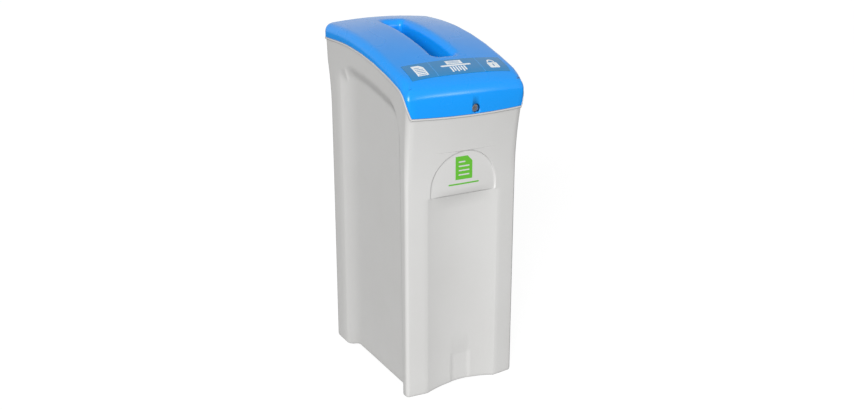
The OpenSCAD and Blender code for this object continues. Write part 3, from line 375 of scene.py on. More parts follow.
def body_rows():
    r = FOOT_R
    rows = [foot_row(UNDERSIDE_H, -r - 1, 0, 0), foot_row(UNDERSIDE_H * 0.5, -r - 0.8, 0, 0.4)]
    rows += [
        foot_row(z, o, 0, 1)
        for z, o in (
            (0, -r - 0.4), (0, -5.2), (0.25, -3.7), (0.9, -2.3), (2, -1.2), (3.8, -0.4), (r, 0),
        )
    ]
    rows += [height_row(z, 0, 0, 0) for z in (30, 55, 78, 84, 90, 140, 190, 240, 320, 400, 450)]
    low = CHANNEL_H - CHANNEL_SLOPE
    rows += [
        height_row(low + CHANNEL_SLOPE * t, t, 0, 0, CHANNEL_H) for t in (0, 0.2, 0.4, 0.6, 0.8, 1)
    ]
    rows += [
        height_row(ARCH_SPRING_H + ARCH_RISE * min(ARCH_CLOSE, math.sin(math.radians(a))), 1, 0, 0)
        for a in (2, 9, 16, 23, 30, 37, 44, 51, 57, 63, 69, 74, 78, 82, 85.6)
    ]
    rows += [height_row(ABOVE_ARCH_Z, 2, 0, 0)]
    rows += [between_row(t, OUTER_BLEND, 0, 0) for t in (0.2, 0.4, 0.6, 0.8)]
    depths = (*range(OUTER_BLEND, 40, -4), 38, 30, 22, 13)
    rows += [depth_row(u, 0, 0) for u in depths]
    rows += [
        depth_row(u, o, 0, True) for u, o in (
            (LIP_H + 1.5, 0), (LIP_H + 0.4, 0.1), (LIP_H, 0.5), (LIP_H - 0.35, 1.3),
            (LIP_H - 0.7, 2.4), (LIP_H - 1.2, 3.1), (LIP_H - 1.9, LIP_OUT), (1.1, LIP_OUT),
            (0.5, LIP_OUT - 0.2), (0.12, LIP_OUT - 0.7), (0, LIP_OUT - 1.4), (0, -WALL + 1),
        )
    ]
    rows += [depth_row(0.4, -WALL + 0.2, 1), depth_row(2, -WALL, 1)]
    rows += [depth_row(u, -WALL, 1) for u in (14, 30, 44, 54, 62, 72, INNER_BLEND)]
    rows += [between_row(0.5, INNER_BLEND, -WALL, 1), height_row(ABOVE_ARCH_Z, 2, -WALL, 1)]
    rows += [
        height_row(ARCH_SPRING_H + a * ARCH_RISE, 1, -WALL, 1)
        for a in (0.985, 0.86, 0.66, 0.4, 0.02)
    ]
    rows += [height_row(CHANNEL_H, 1, -WALL, 1, CHANNEL_H), height_row(low, 0, -WALL, 1)]
    floor_z = UNDERSIDE_H + FLOOR_T
    rows += [foot_row(floor_z + 3, -WALL, 1, 0), foot_row(floor_z, -WALL - 3, 1, 0)]
    return rows


# ---------------------------------------------------------------- shape of the lid
LID_LEVEL_Y = BACK_Y - LID_LEVEL
LID_LONG_Z = TOTAL_H - LID_LONG_R
NOSE_JOIN_Y = -TOTAL_D / 2 + LID_NOSE
NOSE_JOIN_Z = LID_LONG_Z + math.sqrt(LID_LONG_R ** 2 - (LID_LEVEL_Y - NOSE_JOIN_Y) ** 2)
NOSE_Y = NOSE_JOIN_Y + (LID_LEVEL_Y - NOSE_JOIN_Y) * LID_NOSE_R / LID_LONG_R
NOSE_Z = NOSE_JOIN_Z - (NOSE_JOIN_Z - LID_LONG_Z) * LID_NOSE_R / LID_LONG_R
LID_O = LIP_OUT - LID_INSET
SLOT_Y0 = -TOTAL_D / 2 + SLOT_FRONT
SLOT_Y1 = SLOT_Y0 + SLOT_LEN


def lid_profile(y):
    if y >= LID_LEVEL_Y:
        return TOTAL_H
    if y >= NOSE_JOIN_Y:
        return LID_LONG_Z + math.sqrt(LID_LONG_R ** 2 - (LID_LEVEL_Y - y) ** 2)
    return NOSE_Z + math.sqrt(max(1.0, LID_NOSE_R ** 2 - (y - NOSE_Y) ** 2))


def lid_top(x, y):
    c = (x / HALF_W) ** 2
    w = smooth((NOSE_BLEND_Y - y) / NOSE_BLEND)
    return lid_profile(y - FRONT_BULGE * c * w) - LID_CROWN * c * (1 - w) - NOSE_CROWN * c * c * w


def lid_slant(x, y):
    return math.sqrt(1 + ((lid_top(x, y + 1) - lid_top(x, y - 1)) / 2) ** 2)


def shoulder(s):
    if s <= CORNER:
        return FRONT_SHOULDER_R
    if s < COLUMN:
        return mix(FRONT_SHOULDER_R, SIDE_SHOULDER_R, (s - CORNER) / (COLUMN - CORNER))
    if s <= REAR:
        return SIDE_SHOULDER_R
    if s < BACK:
        return mix(SIDE_SHOULDER_R, REAR_SHOULDER_R, (s - REAR) / (BACK - REAR))
    return REAR_SHOULDER_R


def slot_point(s, g):
    hw, r = SLOT_W / 2 + g, SLOT_CORNER_R + g
    if s <= CORNER:
        return (hw - r) * lip_point(s)[0] / lip_point(CORNER)[0], SLOT_Y0 - g
    if s <= COLUMN:
        a = corner_angle(s)
        return hw - r + r * math.cos(a), SLOT_Y0 - g + r + r * math.sin(a)
    if s <= REAR:
        start, end = lip_point(COLUMN)[1], lip_point(REAR)[1]
        return hw, mix(SLOT_Y0 - g + r, SLOT_Y1 + g - r, (lip_point(s)[1] - start) / (end - start))
    if s <= BACK:
        a = corner_angle(s)
        return hw - r + r * math.cos(a), SLOT_Y1 + g - r + r * math.sin(a)
    return (hw - r) * (1 - (s - BACK) / (LAST - BACK)), SLOT_Y1 + g


def lid_plan(s, d):
    return plan_point(s, wall_level(lip_point(s)[2], 0), LID_O - d, even_x(s))


def edge_ring(d, h):
    return full([
        (*lid_plan(s, d), lip_point(s)[2] + h * from_table(STEEP, s)) for s in MARKS
    ])


def rib_ring(d):
    points = []
    for s in MARKS:
        share = 1 if s <= REAR else mix(1, 0.35, clamp((s - REAR) / (BACK - REAR)))
        points.append((*lid_plan(s, d), lip_point(s)[2] - RIB_H * share * from_table(STEEP, s)))
    return full(points)


def shoulder_ring(f, t):
    sn, cs = math.sin(math.radians(f)), math.cos(math.radians(f))
    points = []
    for s in MARKS:
        r = shoulder(s)
        x, y = lid_plan(s, r - (r - t) * cs)
        low = lip_point(s)[2] + (LID_GAP + (t + 0.4 if t > 0 else 1)) * from_table(STEEP, s)
        z = lid_top(x, y) - r * (1 - sn) - t * lid_slant(x, y) * sn
        points.append((x, y, max(z, low + sn)))
    return full(points)


def top_ring(share, t):
    points = []
    for s in MARKS:
        ax, ay = lid_plan(s, shoulder(s))
        bx, by = slot_point(s, SLOT_ROLL_R)
        x, y = mix(ax, bx, share), mix(ay, by, share)
        points.append((x, y, lid_top(x, y) - t * lid_slant(x, y)))
    return full(points)


def roll_ring(f, t):
    sn, cs = math.sin(math.radians(f)), math.cos(math.radians(f))
    points = []
    for s in MARKS:
        x, y = slot_point(s, SLOT_ROLL_R - (SLOT_ROLL_R - t) * sn)
        k = lid_slant(x, y)
        points.append((x, y, lid_top(x, y) - SLOT_ROLL_R * (1 - cs) - t * mix(k, 1, sn) * cs))
    return full(points)


def throat_ring(g, z=THROAT_H):
    return full([(*slot_point(s, g), z) for s in MARKS])


def lid_rows():
    flange = LIP_OUT - LID_INSET + WALL + RIB_GAP
    rows = [edge_ring(1.2, LID_GAP), edge_ring(0.5, LID_GAP + 0.1), edge_ring(0.12, LID_GAP + 0.45)]
    rows += [edge_ring(0, LID_GAP + 0.95)]
    rows += [shoulder_ring(f, 0) for f in (0, 10, 20, 30, 40, 50, 60, 70, 80)]
    rows += [top_ring(k, 0) for k in (0, 0.04, 0.09, 0.15, 0.22, 0.3, 0.39, 0.49, 0.6, 0.72, 0.86)]
    rows += [roll_ring(f, 0) for f in range(0, 91, 9)]
    rows += [throat_ring(g, z) for g, z in (
        (0, THROAT_MID_H), (0, THROAT_H + 1), (0.3, THROAT_H + 0.25),
    )]
    rows += [throat_ring(1.2), throat_ring(LID_WALL)]
    rows += [roll_ring(f, LID_WALL) for f in (90, 70, 45, 20)]
    rows += [top_ring(k, LID_WALL) for k in (1, 0.8, 0.55, 0.3, 0.14)]
    rows += [shoulder_ring(f, LID_WALL) for f in (90, 67, 45, 22, 0)]
    rows += [
        edge_ring(LID_WALL, LID_GAP + LID_WALL), edge_ring(flange + RIB_T, LID_GAP + LID_WALL),
        rib_ring(flange + RIB_T), rib_ring(flange), edge_ring(flange, LID_GAP),
    ]
    return rows


# ---------------------------------------------------------------- meshes
def to_scene(name, data):
    entry = bpy.data.objects.new(name, data)
    bpy.context.scene.collection.objects.link(entry)
    return entry


def make_piece(name, points, faces, finish, body, crease=40):
    mesh = bpy.data.meshes.new(name)
    mesh.from_pydata([(x * MM, y * MM, z * MM) for x, y, z in points], [], faces)
    bm = bmesh.new()
    bm.from_mesh(mesh)
    bmesh.ops.recalc_face_normals(bm, faces=bm.faces)
    bm.to_mesh(mesh)
    bm.free()
    mesh.shade_smooth()
    mesh.set_sharp_from_angle(angle=math.radians(crease))
    mesh.materials.append(finish)
    piece = to_scene(name, mesh)
    if body:
        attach(piece, body)
    return piece


def skin_faces(rows, capped):
    n, m = len(rows[0]), len(rows)
    faces = []
    for j in range(m - 1 if capped else m):
        a, b = j * n, ((j + 1) % m) * n
        faces += [(a + k, a + (k + 1) % n, b + (k + 1) % n, b + k) for k in range(n)]
    if capped:
        faces += [tuple(range(n)), tuple((m - 1) * n + k for k in range(n))]
    return faces


def turned(profile, x, z):
    """Points and faces of a closed profile of (radius, y) turned about the line along Y."""
    n, segments = len(profile), 64
    points = []
    for k in range(segments):
        a = 2 * math.pi * k / segments
        points += [(x + r * math.cos(a), y, z + r * math.sin(a)) for r, y in profile]
    faces = []
    for k in range(segments):
        a, b = k * n, ((k + 1) % segments) * n
        faces += [(a + i, a + (i + 1) % n, b + (i + 1) % n, b + i) for i in range(n)]
    return points, faces


def cut_away(piece, cutter):
    """Takes the cutter's shape out of a piece and drops the cutter."""
    tool = piece.modifiers.new("opening", "BOOLEAN")
    tool.operation = "DIFFERENCE"
    tool.solver = "EXACT"
    tool.object = cutter
    bpy.context.view_layer.update()
    graph = bpy.context.evaluated_depsgraph_get()
    cut = bpy.data.meshes.new_from_object(piece.evaluated_get(graph))
    piece.modifiers.clear()
    piece.data = cut
    bpy.data.objects.remove(cutter)


def printed(name, outlines, place, finish, body, thickness=0.12):
    """Flat shapes laid on a curved face: place turns (u, v, lift) into a point of the face.
    They are cut into squares first, so that they bend with it."""
    step = 5.0
    bm = bmesh.new()
    for outline in outlines:
        bm.faces.new([bm.verts.new((u, v, 0)) for u, v in outline])
    for axis in (0, 1):
        spans = [vert.co[axis] for vert in bm.verts]
        mark = math.floor(min(spans) / step) * step
        while mark < max(spans):
            at, way = Vector((0, 0, 0)), Vector((0, 0, 0))
            at[axis], way[axis] = mark, 1
            bmesh.ops.bisect_plane(
                bm, geom=bm.verts[:] + bm.edges[:] + bm.faces[:], plane_co=at, plane_no=way
            )
            mark += step
    bmesh.ops.triangulate(bm, faces=bm.faces)
    flat = [tuple(vert.co) for vert in bm.verts]
    bm.verts.index_update()
    tops = [tuple(vert.index for vert in face.verts) for face in bm.faces]
    rims = [
        tuple(vert.index for vert in edge.verts)
        for edge in bm.edges if len(edge.link_faces) == 1
    ]
    bm.free()
    n = len(flat)
    points = [place(u, v, thickness) for u, v, _ in flat] + [place(u, v, 0) for u, v, _ in flat]
    faces = tops + [tuple(i + n for i in reversed(face)) for face in tops]
    faces += [(a, b, b + n, a + n) for a, b in rims]
    return make_piece(name, points, faces, finish, body, crease=30)


def rounded(x0, x1, y0, y1, r, steps=6):
    corners = (
        (x1 - r, y0 + r, -90), (x1 - r, y1 - r, 0), (x0 + r, y1 - r, 90), (x0 + r, y0 + r, 180),
    )
    points = []
    for cx, cy, start in corners:
        for k in range(steps + 1):
            a = math.radians(start + 90 * k / steps)
            points.append((cx + r * math.cos(a), cy + r * math.sin(a)))
    return points


def ring_parts(cx, cy, outer, inner, a0, a1, steps):
    parts = []
    for k in range(steps):
        a, b = (math.radians(mix(a0, a1, (k + j) / steps)) for j in (0, 1))
        parts.append([
            (cx + r * math.cos(t), cy + r * math.sin(t))
            for r, t in ((outer, a), (outer, b), (inner, b), (inner, a))
        ])
    return parts


# ---------------------------------------------------------------- shared effects
def start_group(name, inputs, outputs):
    group = bpy.data.node_groups.new(name, "ShaderNodeTree")
    kinds = {"color": "NodeSocketColor", "value": "NodeSocketFloat", "vector": "NodeSocketVector"}
    for label, kind, value in inputs:
        entry = group.interface.new_socket(label, in_out="INPUT", socket_type=kinds[kind])
        entry.default_value = value
    for label, kind in outputs:
        group.interface.new_socket(label, in_out="OUTPUT", socket_type=kinds[kind])
    source = group.nodes.new("NodeGroupInput")
    result = group.nodes.new("NodeGroupOutput")
    source.location, result.location = (-900, 0), (700, 0)
    return group, source, result


def add(tree, kind, at, **settings):
    node = tree.nodes.new(kind)
    node.location = at
    for key, value in settings.items():
        setattr(node, key, value)
    return node


def wire(tree, feed, socket):
    """Links an output to a socket, or sets the socket to a plain value."""
    if hasattr(feed, "links"):
        tree.links.new(feed, socket)
    else:
        socket.default_value = feed


def compute(tree, at, operation, *feeds):
    node = add(tree, "ShaderNodeMath", at, operation=operation)
    for feed, socket in zip(feeds, node.inputs):
        wire(tree, feed, socket)
    return node.outputs[0]


def noise(tree, at, scale, detail, rough=0.5, stretch=None):
    """Noise over the object's own coordinates; stretch squeezes it along some axes."""
    place = add(tree, "ShaderNodeTexCoord", (at[0] - 400, at[1]))
    feed = place.outputs["Object"]
    if stretch:
        squeeze = add(tree, "ShaderNodeMapping", (at[0] - 200, at[1]))
        squeeze.inputs["Scale"].default_value = stretch
        tree.links.new(feed, squeeze.inputs["Vector"])
        feed = squeeze.outputs["Vector"]
    node = add(tree, "ShaderNodeTexNoise", at)
    node.inputs["Scale"].default_value = scale
    node.inputs["Detail"].default_value = detail
    node.inputs["Roughness"].default_value = rough
    tree.links.new(feed, node.inputs["Vector"])
    return node


def remap(tree, at, feed, low, high, to_low, to_high):
    node = add(tree, "ShaderNodeMapRange", at)
    limits = (("From Min", low), ("From Max", high), ("To Min", to_low), ("To Max", to_high))
    for key, value in (("Value", feed), *limits):
        wire(tree, value, node.inputs[key])
    return node.outputs["Result"]


def blend_color(tree, at, factor, a, b):
    node = add(tree, "ShaderNodeMix", at, data_type="RGBA")
    for feed, slot in ((factor, 0), (a, 6), (b, 7)):
        wire(tree, feed, node.inputs[slot])
    return node.outputs[2]


def moulded_surface():
    """Moulded plastic: cloudy tint, uneven gloss and a fine orange-peel height."""
    group, source, result = start_group(
        "moulded surface",
        [("Tint", "color", (0.6, 0.6, 0.6, 1)), ("Cloud", "color", (0.5, 0.5, 0.5, 1)),
         ("Cloud Share", "value", 0.5), ("Gloss Low", "value", 0.3), ("Gloss High", "value", 0.4)],
        [("Tint", "color"), ("Roughness", "value"), ("Height", "value")],
    )
    clouds = noise(group, (-300, 200), 7.0, 3.0)
    speck = noise(group, (-300, 0), 900.0, 2.0)
    peel = noise(group, (-300, -200), 260.0, 3.0, 0.6)
    cloudy = remap(group, (-100, 200), clouds.outputs["Fac"], 0.35, 0.7, 0.0, 1.0)
    share = compute(group, (60, 200), "MULTIPLY", cloudy, source.outputs["Cloud Share"])
    tint = blend_color(group, (220, 200), share, source.outputs["Tint"], source.outputs["Cloud"])
    group.links.new(tint, result.inputs["Tint"])
    gloss = remap(
        group, (220, -20), clouds.outputs["Fac"], 0.3, 0.7,
        source.outputs["Gloss Low"], source.outputs["Gloss High"],
    )
    group.links.new(gloss, result.inputs["Roughness"])
    height = compute(
        group, (220, -220), "MULTIPLY_ADD", speck.outputs["Fac"], 0.35, peel.outputs["Fac"]
    )
    group.links.new(height, result.inputs["Height"])
    return group


def handling_marks():
    """Mask of scuffs that grow towards the floor, broken up into streaks and patches."""
    group, source, result = start_group(
        "handling marks", [("Reach", "value", 0.1), ("Share", "value", 0.5)], [("Mask", "value")]
    )
    place = add(group, "ShaderNodeTexCoord", (-700, 250))
    parts = add(group, "ShaderNodeSeparateXYZ", (-520, 250))
    group.links.new(place.outputs["Object"], parts.inputs[0])
    low = remap(group, (-340, 250), parts.outputs["Z"], 0.0, source.outputs["Reach"], 1.0, 0.0)
    streaks = noise(group, (-340, 0), 38.0, 6.0, 0.7, (1.0, 1.0, 5.0))
    patches = noise(group, (-340, -220), 11.0, 2.0)
    fine = remap(group, (-140, 0), streaks.outputs["Fac"], 0.58, 0.72, 0.0, 1.0)
    broad = remap(group, (-140, -220), patches.outputs["Fac"], 0.5, 0.75, 0.15, 1.0)
    scuffs = compute(group, (60, 0), "MULTIPLY", fine, broad)
    fade = compute(group, (220, 100), "MULTIPLY", scuffs, low)
    share = compute(group, (380, 100), "MULTIPLY", fade, source.outputs["Share"])
    group.links.new(share, result.inputs["Mask"])
    return group


def plated_surface():
    """Plated or brushed metal: drawn lines, a mottled tint and uneven gloss."""
    group, source, result = start_group(
        "plated surface",
        [("Bright", "color", (0.7, 0.7, 0.7, 1)), ("Dull", "color", (0.45, 0.45, 0.45, 1)),
         ("Gloss Low", "value", 0.2), ("Gloss High", "value", 0.45)],
        [("Tint", "color"), ("Roughness", "value"), ("Height", "value")],
    )
    mottle = noise(group, (-300, 200), 140.0, 4.0, 0.6)
    lines = noise(group, (-300, -100), 420.0, 3.0, 0.6, (0.06, 1.0, 1.0))
    share = remap(group, (-100, 200), mottle.outputs["Fac"], 0.35, 0.68, 0.0, 1.0)
    tint = blend_color(group, (200, 200), share, source.outputs["Bright"], source.outputs["Dull"])
    group.links.new(tint, result.inputs["Tint"])
    gloss = remap(
        group, (200, 0), lines.outputs["Fac"], 0.3, 0.7,
        source.outputs["Gloss Low"], source.outputs["Gloss High"],
    )
    group.links.new(gloss, result.inputs["Roughness"])
    group.links.new(lines.outputs["Fac"], result.inputs["Height"])
    return group


MOULDED, MARKED, PLATED = moulded_surface(), handling_marks(), plated_surface()


# ---------------------------------------------------------------- finishes
def empty_tree(holder):
    holder.use_nodes = True
    holder.node_tree.nodes.clear()
    return holder.node_tree


def start_finish(name, **constants):
    finish = bpy.data.materials.new(name)
    tree = empty_tree(finish)
    out = add(tree, "ShaderNodeOutputMaterial", (600, 0))
    shader = add(tree, "ShaderNodeBsdfPrincipled", (300, 0))
    tree.links.new(shader.outputs[0], out.inputs[0])
    for key, value in constants.items():
        shader.inputs[key.replace("_", " ")].default_value = value
    return finish, tree, shader


def place_group(tree, group, at, **values):
    node = add(tree, "ShaderNodeGroup", at, node_tree=group)
    for key, value in values.items():
        node.inputs[key.replace("_", " ")].default_value = value
    return node


def raise_surface(tree, shader, height, depth):
    bump = add(tree, "ShaderNodeBump", (60, -300))
    bump.inputs["Distance"].default_value = depth
    bump.inputs["Strength"].default_value = 1.0
    tree.links.new(height, bump.inputs["Height"])
    tree.links.new(bump.outputs["Normal"], shader.inputs["Normal"])


def plastic(name, tint, cloud, gloss, share, mark_tint, reach, marks, depth, **constants):
    """Moulded or printed plastic. share is how much of the cloud colour shows, reach the height in
    metres that handling marks rise to, marks their strength, and depth that of the surface."""
    finish, tree, shader = start_finish(name, **constants)
    base = place_group(
        tree, MOULDED, (-420, 100), Tint=(*tint, 1), Cloud=(*cloud, 1), Cloud_Share=share,
        Gloss_Low=gloss[0], Gloss_High=gloss[1],
    )
    worn = place_group(tree, MARKED, (-420, -160), Reach=reach, Share=marks)
    mask = worn.outputs["Mask"]
    color = blend_color(tree, (-160, 140), mask, base.outputs["Tint"], (*mark_tint, 1))
    tree.links.new(color, shader.inputs["Base Color"])
    rough = compute(tree, (-160, -60), "MULTIPLY_ADD", mask, 0.25, base.outputs["Roughness"])
    tree.links.new(rough, shader.inputs["Roughness"])
    raise_surface(tree, shader, base.outputs["Height"], depth)
    return finish


def metal(name, bright, dull, gloss, depth):
    """Metal with a bright and a dull tint, a low and a high roughness, and a surface depth."""
    finish, tree, shader = start_finish(name, Metallic=1.0)
    base = place_group(
        tree, PLATED, (-300, 0), Bright=(*bright, 1), Dull=(*dull, 1),
        Gloss_Low=gloss[0], Gloss_High=gloss[1],
    )
    tree.links.new(base.outputs["Tint"], shader.inputs["Base Color"])
    tree.links.new(base.outputs["Roughness"], shader.inputs["Roughness"])
    raise_surface(tree, shader, base.outputs["Height"], depth)
    return finish


def spangled(name):
    """Galvanised sheet: crystals of zinc, each with its own shade and gloss."""
    finish, tree, shader = start_finish(name, Metallic=1.0)
    place = add(tree, "ShaderNodeTexCoord", (-900, 0))
    cells = add(tree, "ShaderNodeTexVoronoi", (-700, 0))
    cells.inputs["Scale"].default_value = 75.0
    tree.links.new(place.outputs["Object"], cells.inputs["Vector"])
    shade = add(tree, "ShaderNodeSeparateColor", (-520, 0))
    tree.links.new(cells.outputs["Color"], shade.inputs[0])
    base = place_group(
        tree, PLATED, (-520, -240), Bright=(0.6, 0.62, 0.64, 1), Dull=(0.46, 0.48, 0.5, 1),
        Gloss_Low=0.3, Gloss_High=0.5,
    )
    zinc = (0.5, 0.52, 0.55, 1)
    tint = blend_color(tree, (-200, 60), shade.outputs[0], base.outputs["Tint"], zinc)
    tree.links.new(tint, shader.inputs["Base Color"])
    gloss = remap(tree, (-200, -140), shade.outputs[1], 0.0, 1.0, 0.28, 0.5)
    tree.links.new(gloss, shader.inputs["Roughness"])
    raise_surface(tree, shader, base.outputs["Height"], 0.00004)
    return finish


body_plastic = plastic(
    "pale grey moulded plastic", tint=(0.60, 0.598, 0.59), cloud=(0.56, 0.556, 0.545),
    gloss=(0.42, 0.5),
    share=0.5, mark_tint=(0.42, 0.41, 0.4), reach=0.16, marks=0.4, depth=0.00006,
)
lid_plastic = plastic(
    "bright blue moulded plastic", tint=(0.006, 0.305, 0.9), cloud=(0.006, 0.29, 0.86),
    gloss=(0.24, 0.3),
    share=0.5, mark_tint=(0.1, 0.32, 0.8), reach=0.9, marks=0.05, depth=0.00003,
    Specular_IOR_Level=0.35,
)
# Painted shade: the lid's blue darkened to stand in for the shadow inside the lock's pocket
pocket_painted_shade_plastic = plastic(
    "blue plastic with painted pocket shade", tint=(0.004, 0.05, 0.13), cloud=(0.004, 0.045, 0.11), gloss=(0.3, 0.4),
    share=0.5, mark_tint=(0.1, 0.2, 0.4), reach=0.9, marks=0.05, depth=0.00003,
    Specular_IOR_Level=0.2,
)
label_film = plastic(
    "printed blue film", tint=(0.0, 0.21, 0.5), cloud=(0.0, 0.2, 0.48), gloss=(0.16, 0.22),
    share=0.4, mark_tint=(0.05, 0.3, 0.66), reach=0.9, marks=0.05, depth=0.00001,
)
white_print = plastic(
    "white print", tint=(0.86, 0.9, 0.92), cloud=(0.8, 0.86, 0.9), gloss=(0.2, 0.28),
    share=0.5, mark_tint=(0.6, 0.7, 0.8), reach=0.9, marks=0.1, depth=0.00001,
)
pale_print = plastic(
    "pale blue print", tint=(0.06, 0.4, 0.88), cloud=(0.06, 0.38, 0.84), gloss=(0.2, 0.28),
    share=0.5, mark_tint=(0.2, 0.4, 0.8), reach=0.9, marks=0.1, depth=0.00001,
)
green_print = plastic(
    "green print", tint=(0.12, 0.46, 0.03), cloud=(0.1, 0.41, 0.03), gloss=(0.35, 0.45),
    share=0.5, mark_tint=(0.3, 0.5, 0.2), reach=0.9, marks=0.1, depth=0.00002,
)
hinge_steel = metal(
    "rolled hinge steel", bright=(0.58, 0.58, 0.6), dull=(0.42, 0.42, 0.44),
    gloss=(0.28, 0.5), depth=0.00005,
)
zinc_steel = metal(
    "zinc plated steel", bright=(0.66, 0.67, 0.66), dull=(0.5, 0.51, 0.49),
    gloss=(0.25, 0.42), depth=0.00003,
)
bright_steel = metal(
    "bright steel", bright=(0.74, 0.75, 0.77), dull=(0.58, 0.59, 0.61),
    gloss=(0.16, 0.32), depth=0.00003,
)
wire_steel = metal(
    "drawn wire", bright=(0.64, 0.65, 0.66), dull=(0.46, 0.47, 0.48),
    gloss=(0.22, 0.4), depth=0.00005,
)
lock_chrome = metal(
    "satin chrome", bright=(0.62, 0.58, 0.58), dull=(0.45, 0.42, 0.42),
    gloss=(0.2, 0.36), depth=0.00002,
)
liner_sheet = spangled("galvanised sheet")

NODE_FINISH = {
    "strike_plate": zinc_steel, "strike_screws": bright_steel, "body_hinge_leaves": hinge_steel,
    "body_leaf_bolts": zinc_steel, "body_leaf_nuts": zinc_steel, "hinge_pins": bright_steel,
    "hinge_pin_clips": zinc_steel, "paper_liner": liner_sheet, "bail_ears": zinc_steel,
    "ear_rivets": bright_steel, "front_bail": wire_steel, "rear_bail": wire_steel,
    "lid_hinge_leaves": hinge_steel, "lid_leaf_bolts": zinc_steel, "lid_leaf_nuts": zinc_steel,
    "lock_barrel": lock_chrome, "lock_washer": zinc_steel, "lock_nut": zinc_steel,
    "lock_plug": lock_chrome, "lock_cam": zinc_steel, "cam_screw": bright_steel,
    "body_shell": body_plastic, "lid_shell": lid_plastic, "lid_label": label_film,
}
for node_name, node_finish in NODE_FINISH.items():
    node_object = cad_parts[node_name]
    if not node_object.material_slots:
        node_object.data.materials.append(node_finish)
    for material_slot in node_object.material_slots:
        material_slot.material = node_finish

# ---------------------------------------------------------------- moulded skins
rows = body_rows()
body_skin = make_piece(
    "body_skin", [p for row in rows for p in row], skin_faces(rows, True), body_plastic, None, 42
)
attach(body_skin, "body")
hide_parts("body_shell")

rows = lid_rows()
lid_skin = make_piece(
    "lid_skin", [p for row in rows for p in row], skin_faces(rows, False), lid_plastic, None, 42
)
cut_y0, cut_y1 = LID_FRONT - 6, LID_FRONT + 9
cut_points, cut_faces = turned(
    [(0.01, cut_y0), (POCKET_R, cut_y0), (POCKET_R, cut_y1), (0.01, cut_y1)], LOCK_X, LOCK_Z
)
cut_away(lid_skin, make_piece("pocket_tool", cut_points, cut_faces, lid_plastic, None))
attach(lid_skin, "lid")
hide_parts("lid_shell")

# Cup of the lock's pocket, behind the opening in the lid's face; its dark blue is painted shade,
# standing in for the shadow inside the pocket
pocket_y = LID_FRONT + POCKET_DEPTH
cup_y, floor_y = LID_FRONT + CUP_START, pocket_y + POCKET_FLOOR
cup_points, cup_faces = turned(
    [
        (POCKET_R + 0.03, cup_y), (POCKET_R + 0.03, pocket_y - 1), (POCKET_R - 0.3, pocket_y - 0.3),
        (POCKET_R - 1, pocket_y), (BARREL_R + 0.25, pocket_y), (BARREL_R + 0.25, floor_y),
        (POCKET_R + CUP_RIM, floor_y), (POCKET_R + CUP_RIM, cup_y),
    ],
    LOCK_X, LOCK_Z,
)
lock_cup = make_piece("lock_cup", cup_points, cup_faces, pocket_painted_shade_plastic, "lid")


# ---------------------------------------------------------------- label and sign
def on_lid(base):
    def place(x, y, lift):
        k = lid_slant(x, y)
        return x, y, lid_top(x, y) + (base + lift) * k
    return place


label_y0 = -TOTAL_D / 2 + LABEL_FRONT
label_y1 = label_y0 + LABEL_LEN
label_strip = printed(
    "label_strip", [rounded(-LABEL_HW, LABEL_HW, label_y0, label_y1, 1.5, 3)], on_lid(PRINT_LIFT),
    label_film, "lid", thickness=LABEL_T,
)
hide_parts("lid_label")

mid_y = (label_y0 + label_y1) / 2
print_face = on_lid(PRINT_LIFT + LABEL_T + 0.02)


def block(x0, x1, y0, y1):
    return [(x0, y0), (x1, y0), (x1, y1), (x0, y1)]


def page(cx, cy, w, h, fold):
    return [
        (cx - w / 2, cy - h / 2), (cx + w / 2, cy - h / 2), (cx + w / 2, cy + h / 2 - fold),
        (cx + w / 2 - fold, cy + h / 2), (cx - w / 2, cy + h / 2),
    ]


def bar(x0, x1, y, t):
    return block(x0, x1, y - t / 2, y + t / 2)


white_shapes = [page(-93, mid_y, 27, 36, 8)]
white_shapes += [rounded(-38, 38, mid_y + 1, mid_y + 6, 2)]
white_shapes += [block(-20, 20, mid_y + 8, mid_y + 21)]
white_shapes += [
    block(x - 2, x + 2, mid_y - 19 + (k % 2) * 3, mid_y - 1)
    for k, x in enumerate((-17.5, -10.5, -3.5, 3.5, 10.5, 17.5))
]
white_shapes += [rounded(80, 106, mid_y - 16, mid_y + 4, 3)]
white_shapes += ring_parts(93, mid_y + 5.5, 10, 6.5, 0, 180, 14)
label_marks = printed("label_marks", white_shapes, print_face, white_print, "lid")

line_shapes = [bar(-103, -83 if k else -90, mid_y + 9 - 6 * k, 1.8) for k in range(5)]
line_shapes += [bar(-14, 14, mid_y + 17, 1.6), bar(-14, 14, mid_y + 12.5, 1.6)]
line_shapes += [rounded(91.4, 94.6, mid_y - 11, mid_y - 2, 1.5)]
label_lines = printed(
    "label_lines", line_shapes, on_lid(PRINT_LIFT + LABEL_T + 0.16), label_film, "lid",
    thickness=0.05,
)

divider_shapes = [block(x - 0.5, x + 0.5, label_y0 + 1, label_y1 - 1) for x in (-60, 60)]
label_dividers = printed("label_dividers", divider_shapes, print_face, pale_print, "lid")


def on_pad(x, z, lift):
    u = lip_point(0.0)[2] - z
    v = wall_level(z, u)
    face = -v[1] - bulge(x, v[0]) + PAD_DEPTH + FRONT_FLARE * flare(u) + spread(z)
    return x, face - lift - 0.05, z


sign_z = 548.0
green_shapes = [page(0, sign_z, 44, 54, 13)]
green_shapes += [rounded(-40, 40, 509, 512.5, 1.5)]
sign_print = printed("sign_print", green_shapes, on_pad, green_print, "body", thickness=0.25)
sign_lines = printed(
    "sign_lines", [bar(-14, 14 if k else 3, sign_z + 14 - 10 * k, 3) for k in range(4)],
    lambda x, z, lift: on_pad(x, z, lift + 0.27), body_plastic, "body", thickness=0.08,
)


# ---------------------------------------------------------------- studio
def light_source(tree, kind, at, color, strength):
    node = add(tree, kind, at)
    node.inputs["Color"].default_value = (*color, 1)
    node.inputs["Strength"].default_value = strength
    return node.outputs[0]


def mix_shaders(tree, at, share, first, second):
    node = add(tree, "ShaderNodeMixShader", at)
    for slot, feed in enumerate((share, first, second)):
        tree.links.new(feed, node.inputs[slot])
    return node.outputs[0]


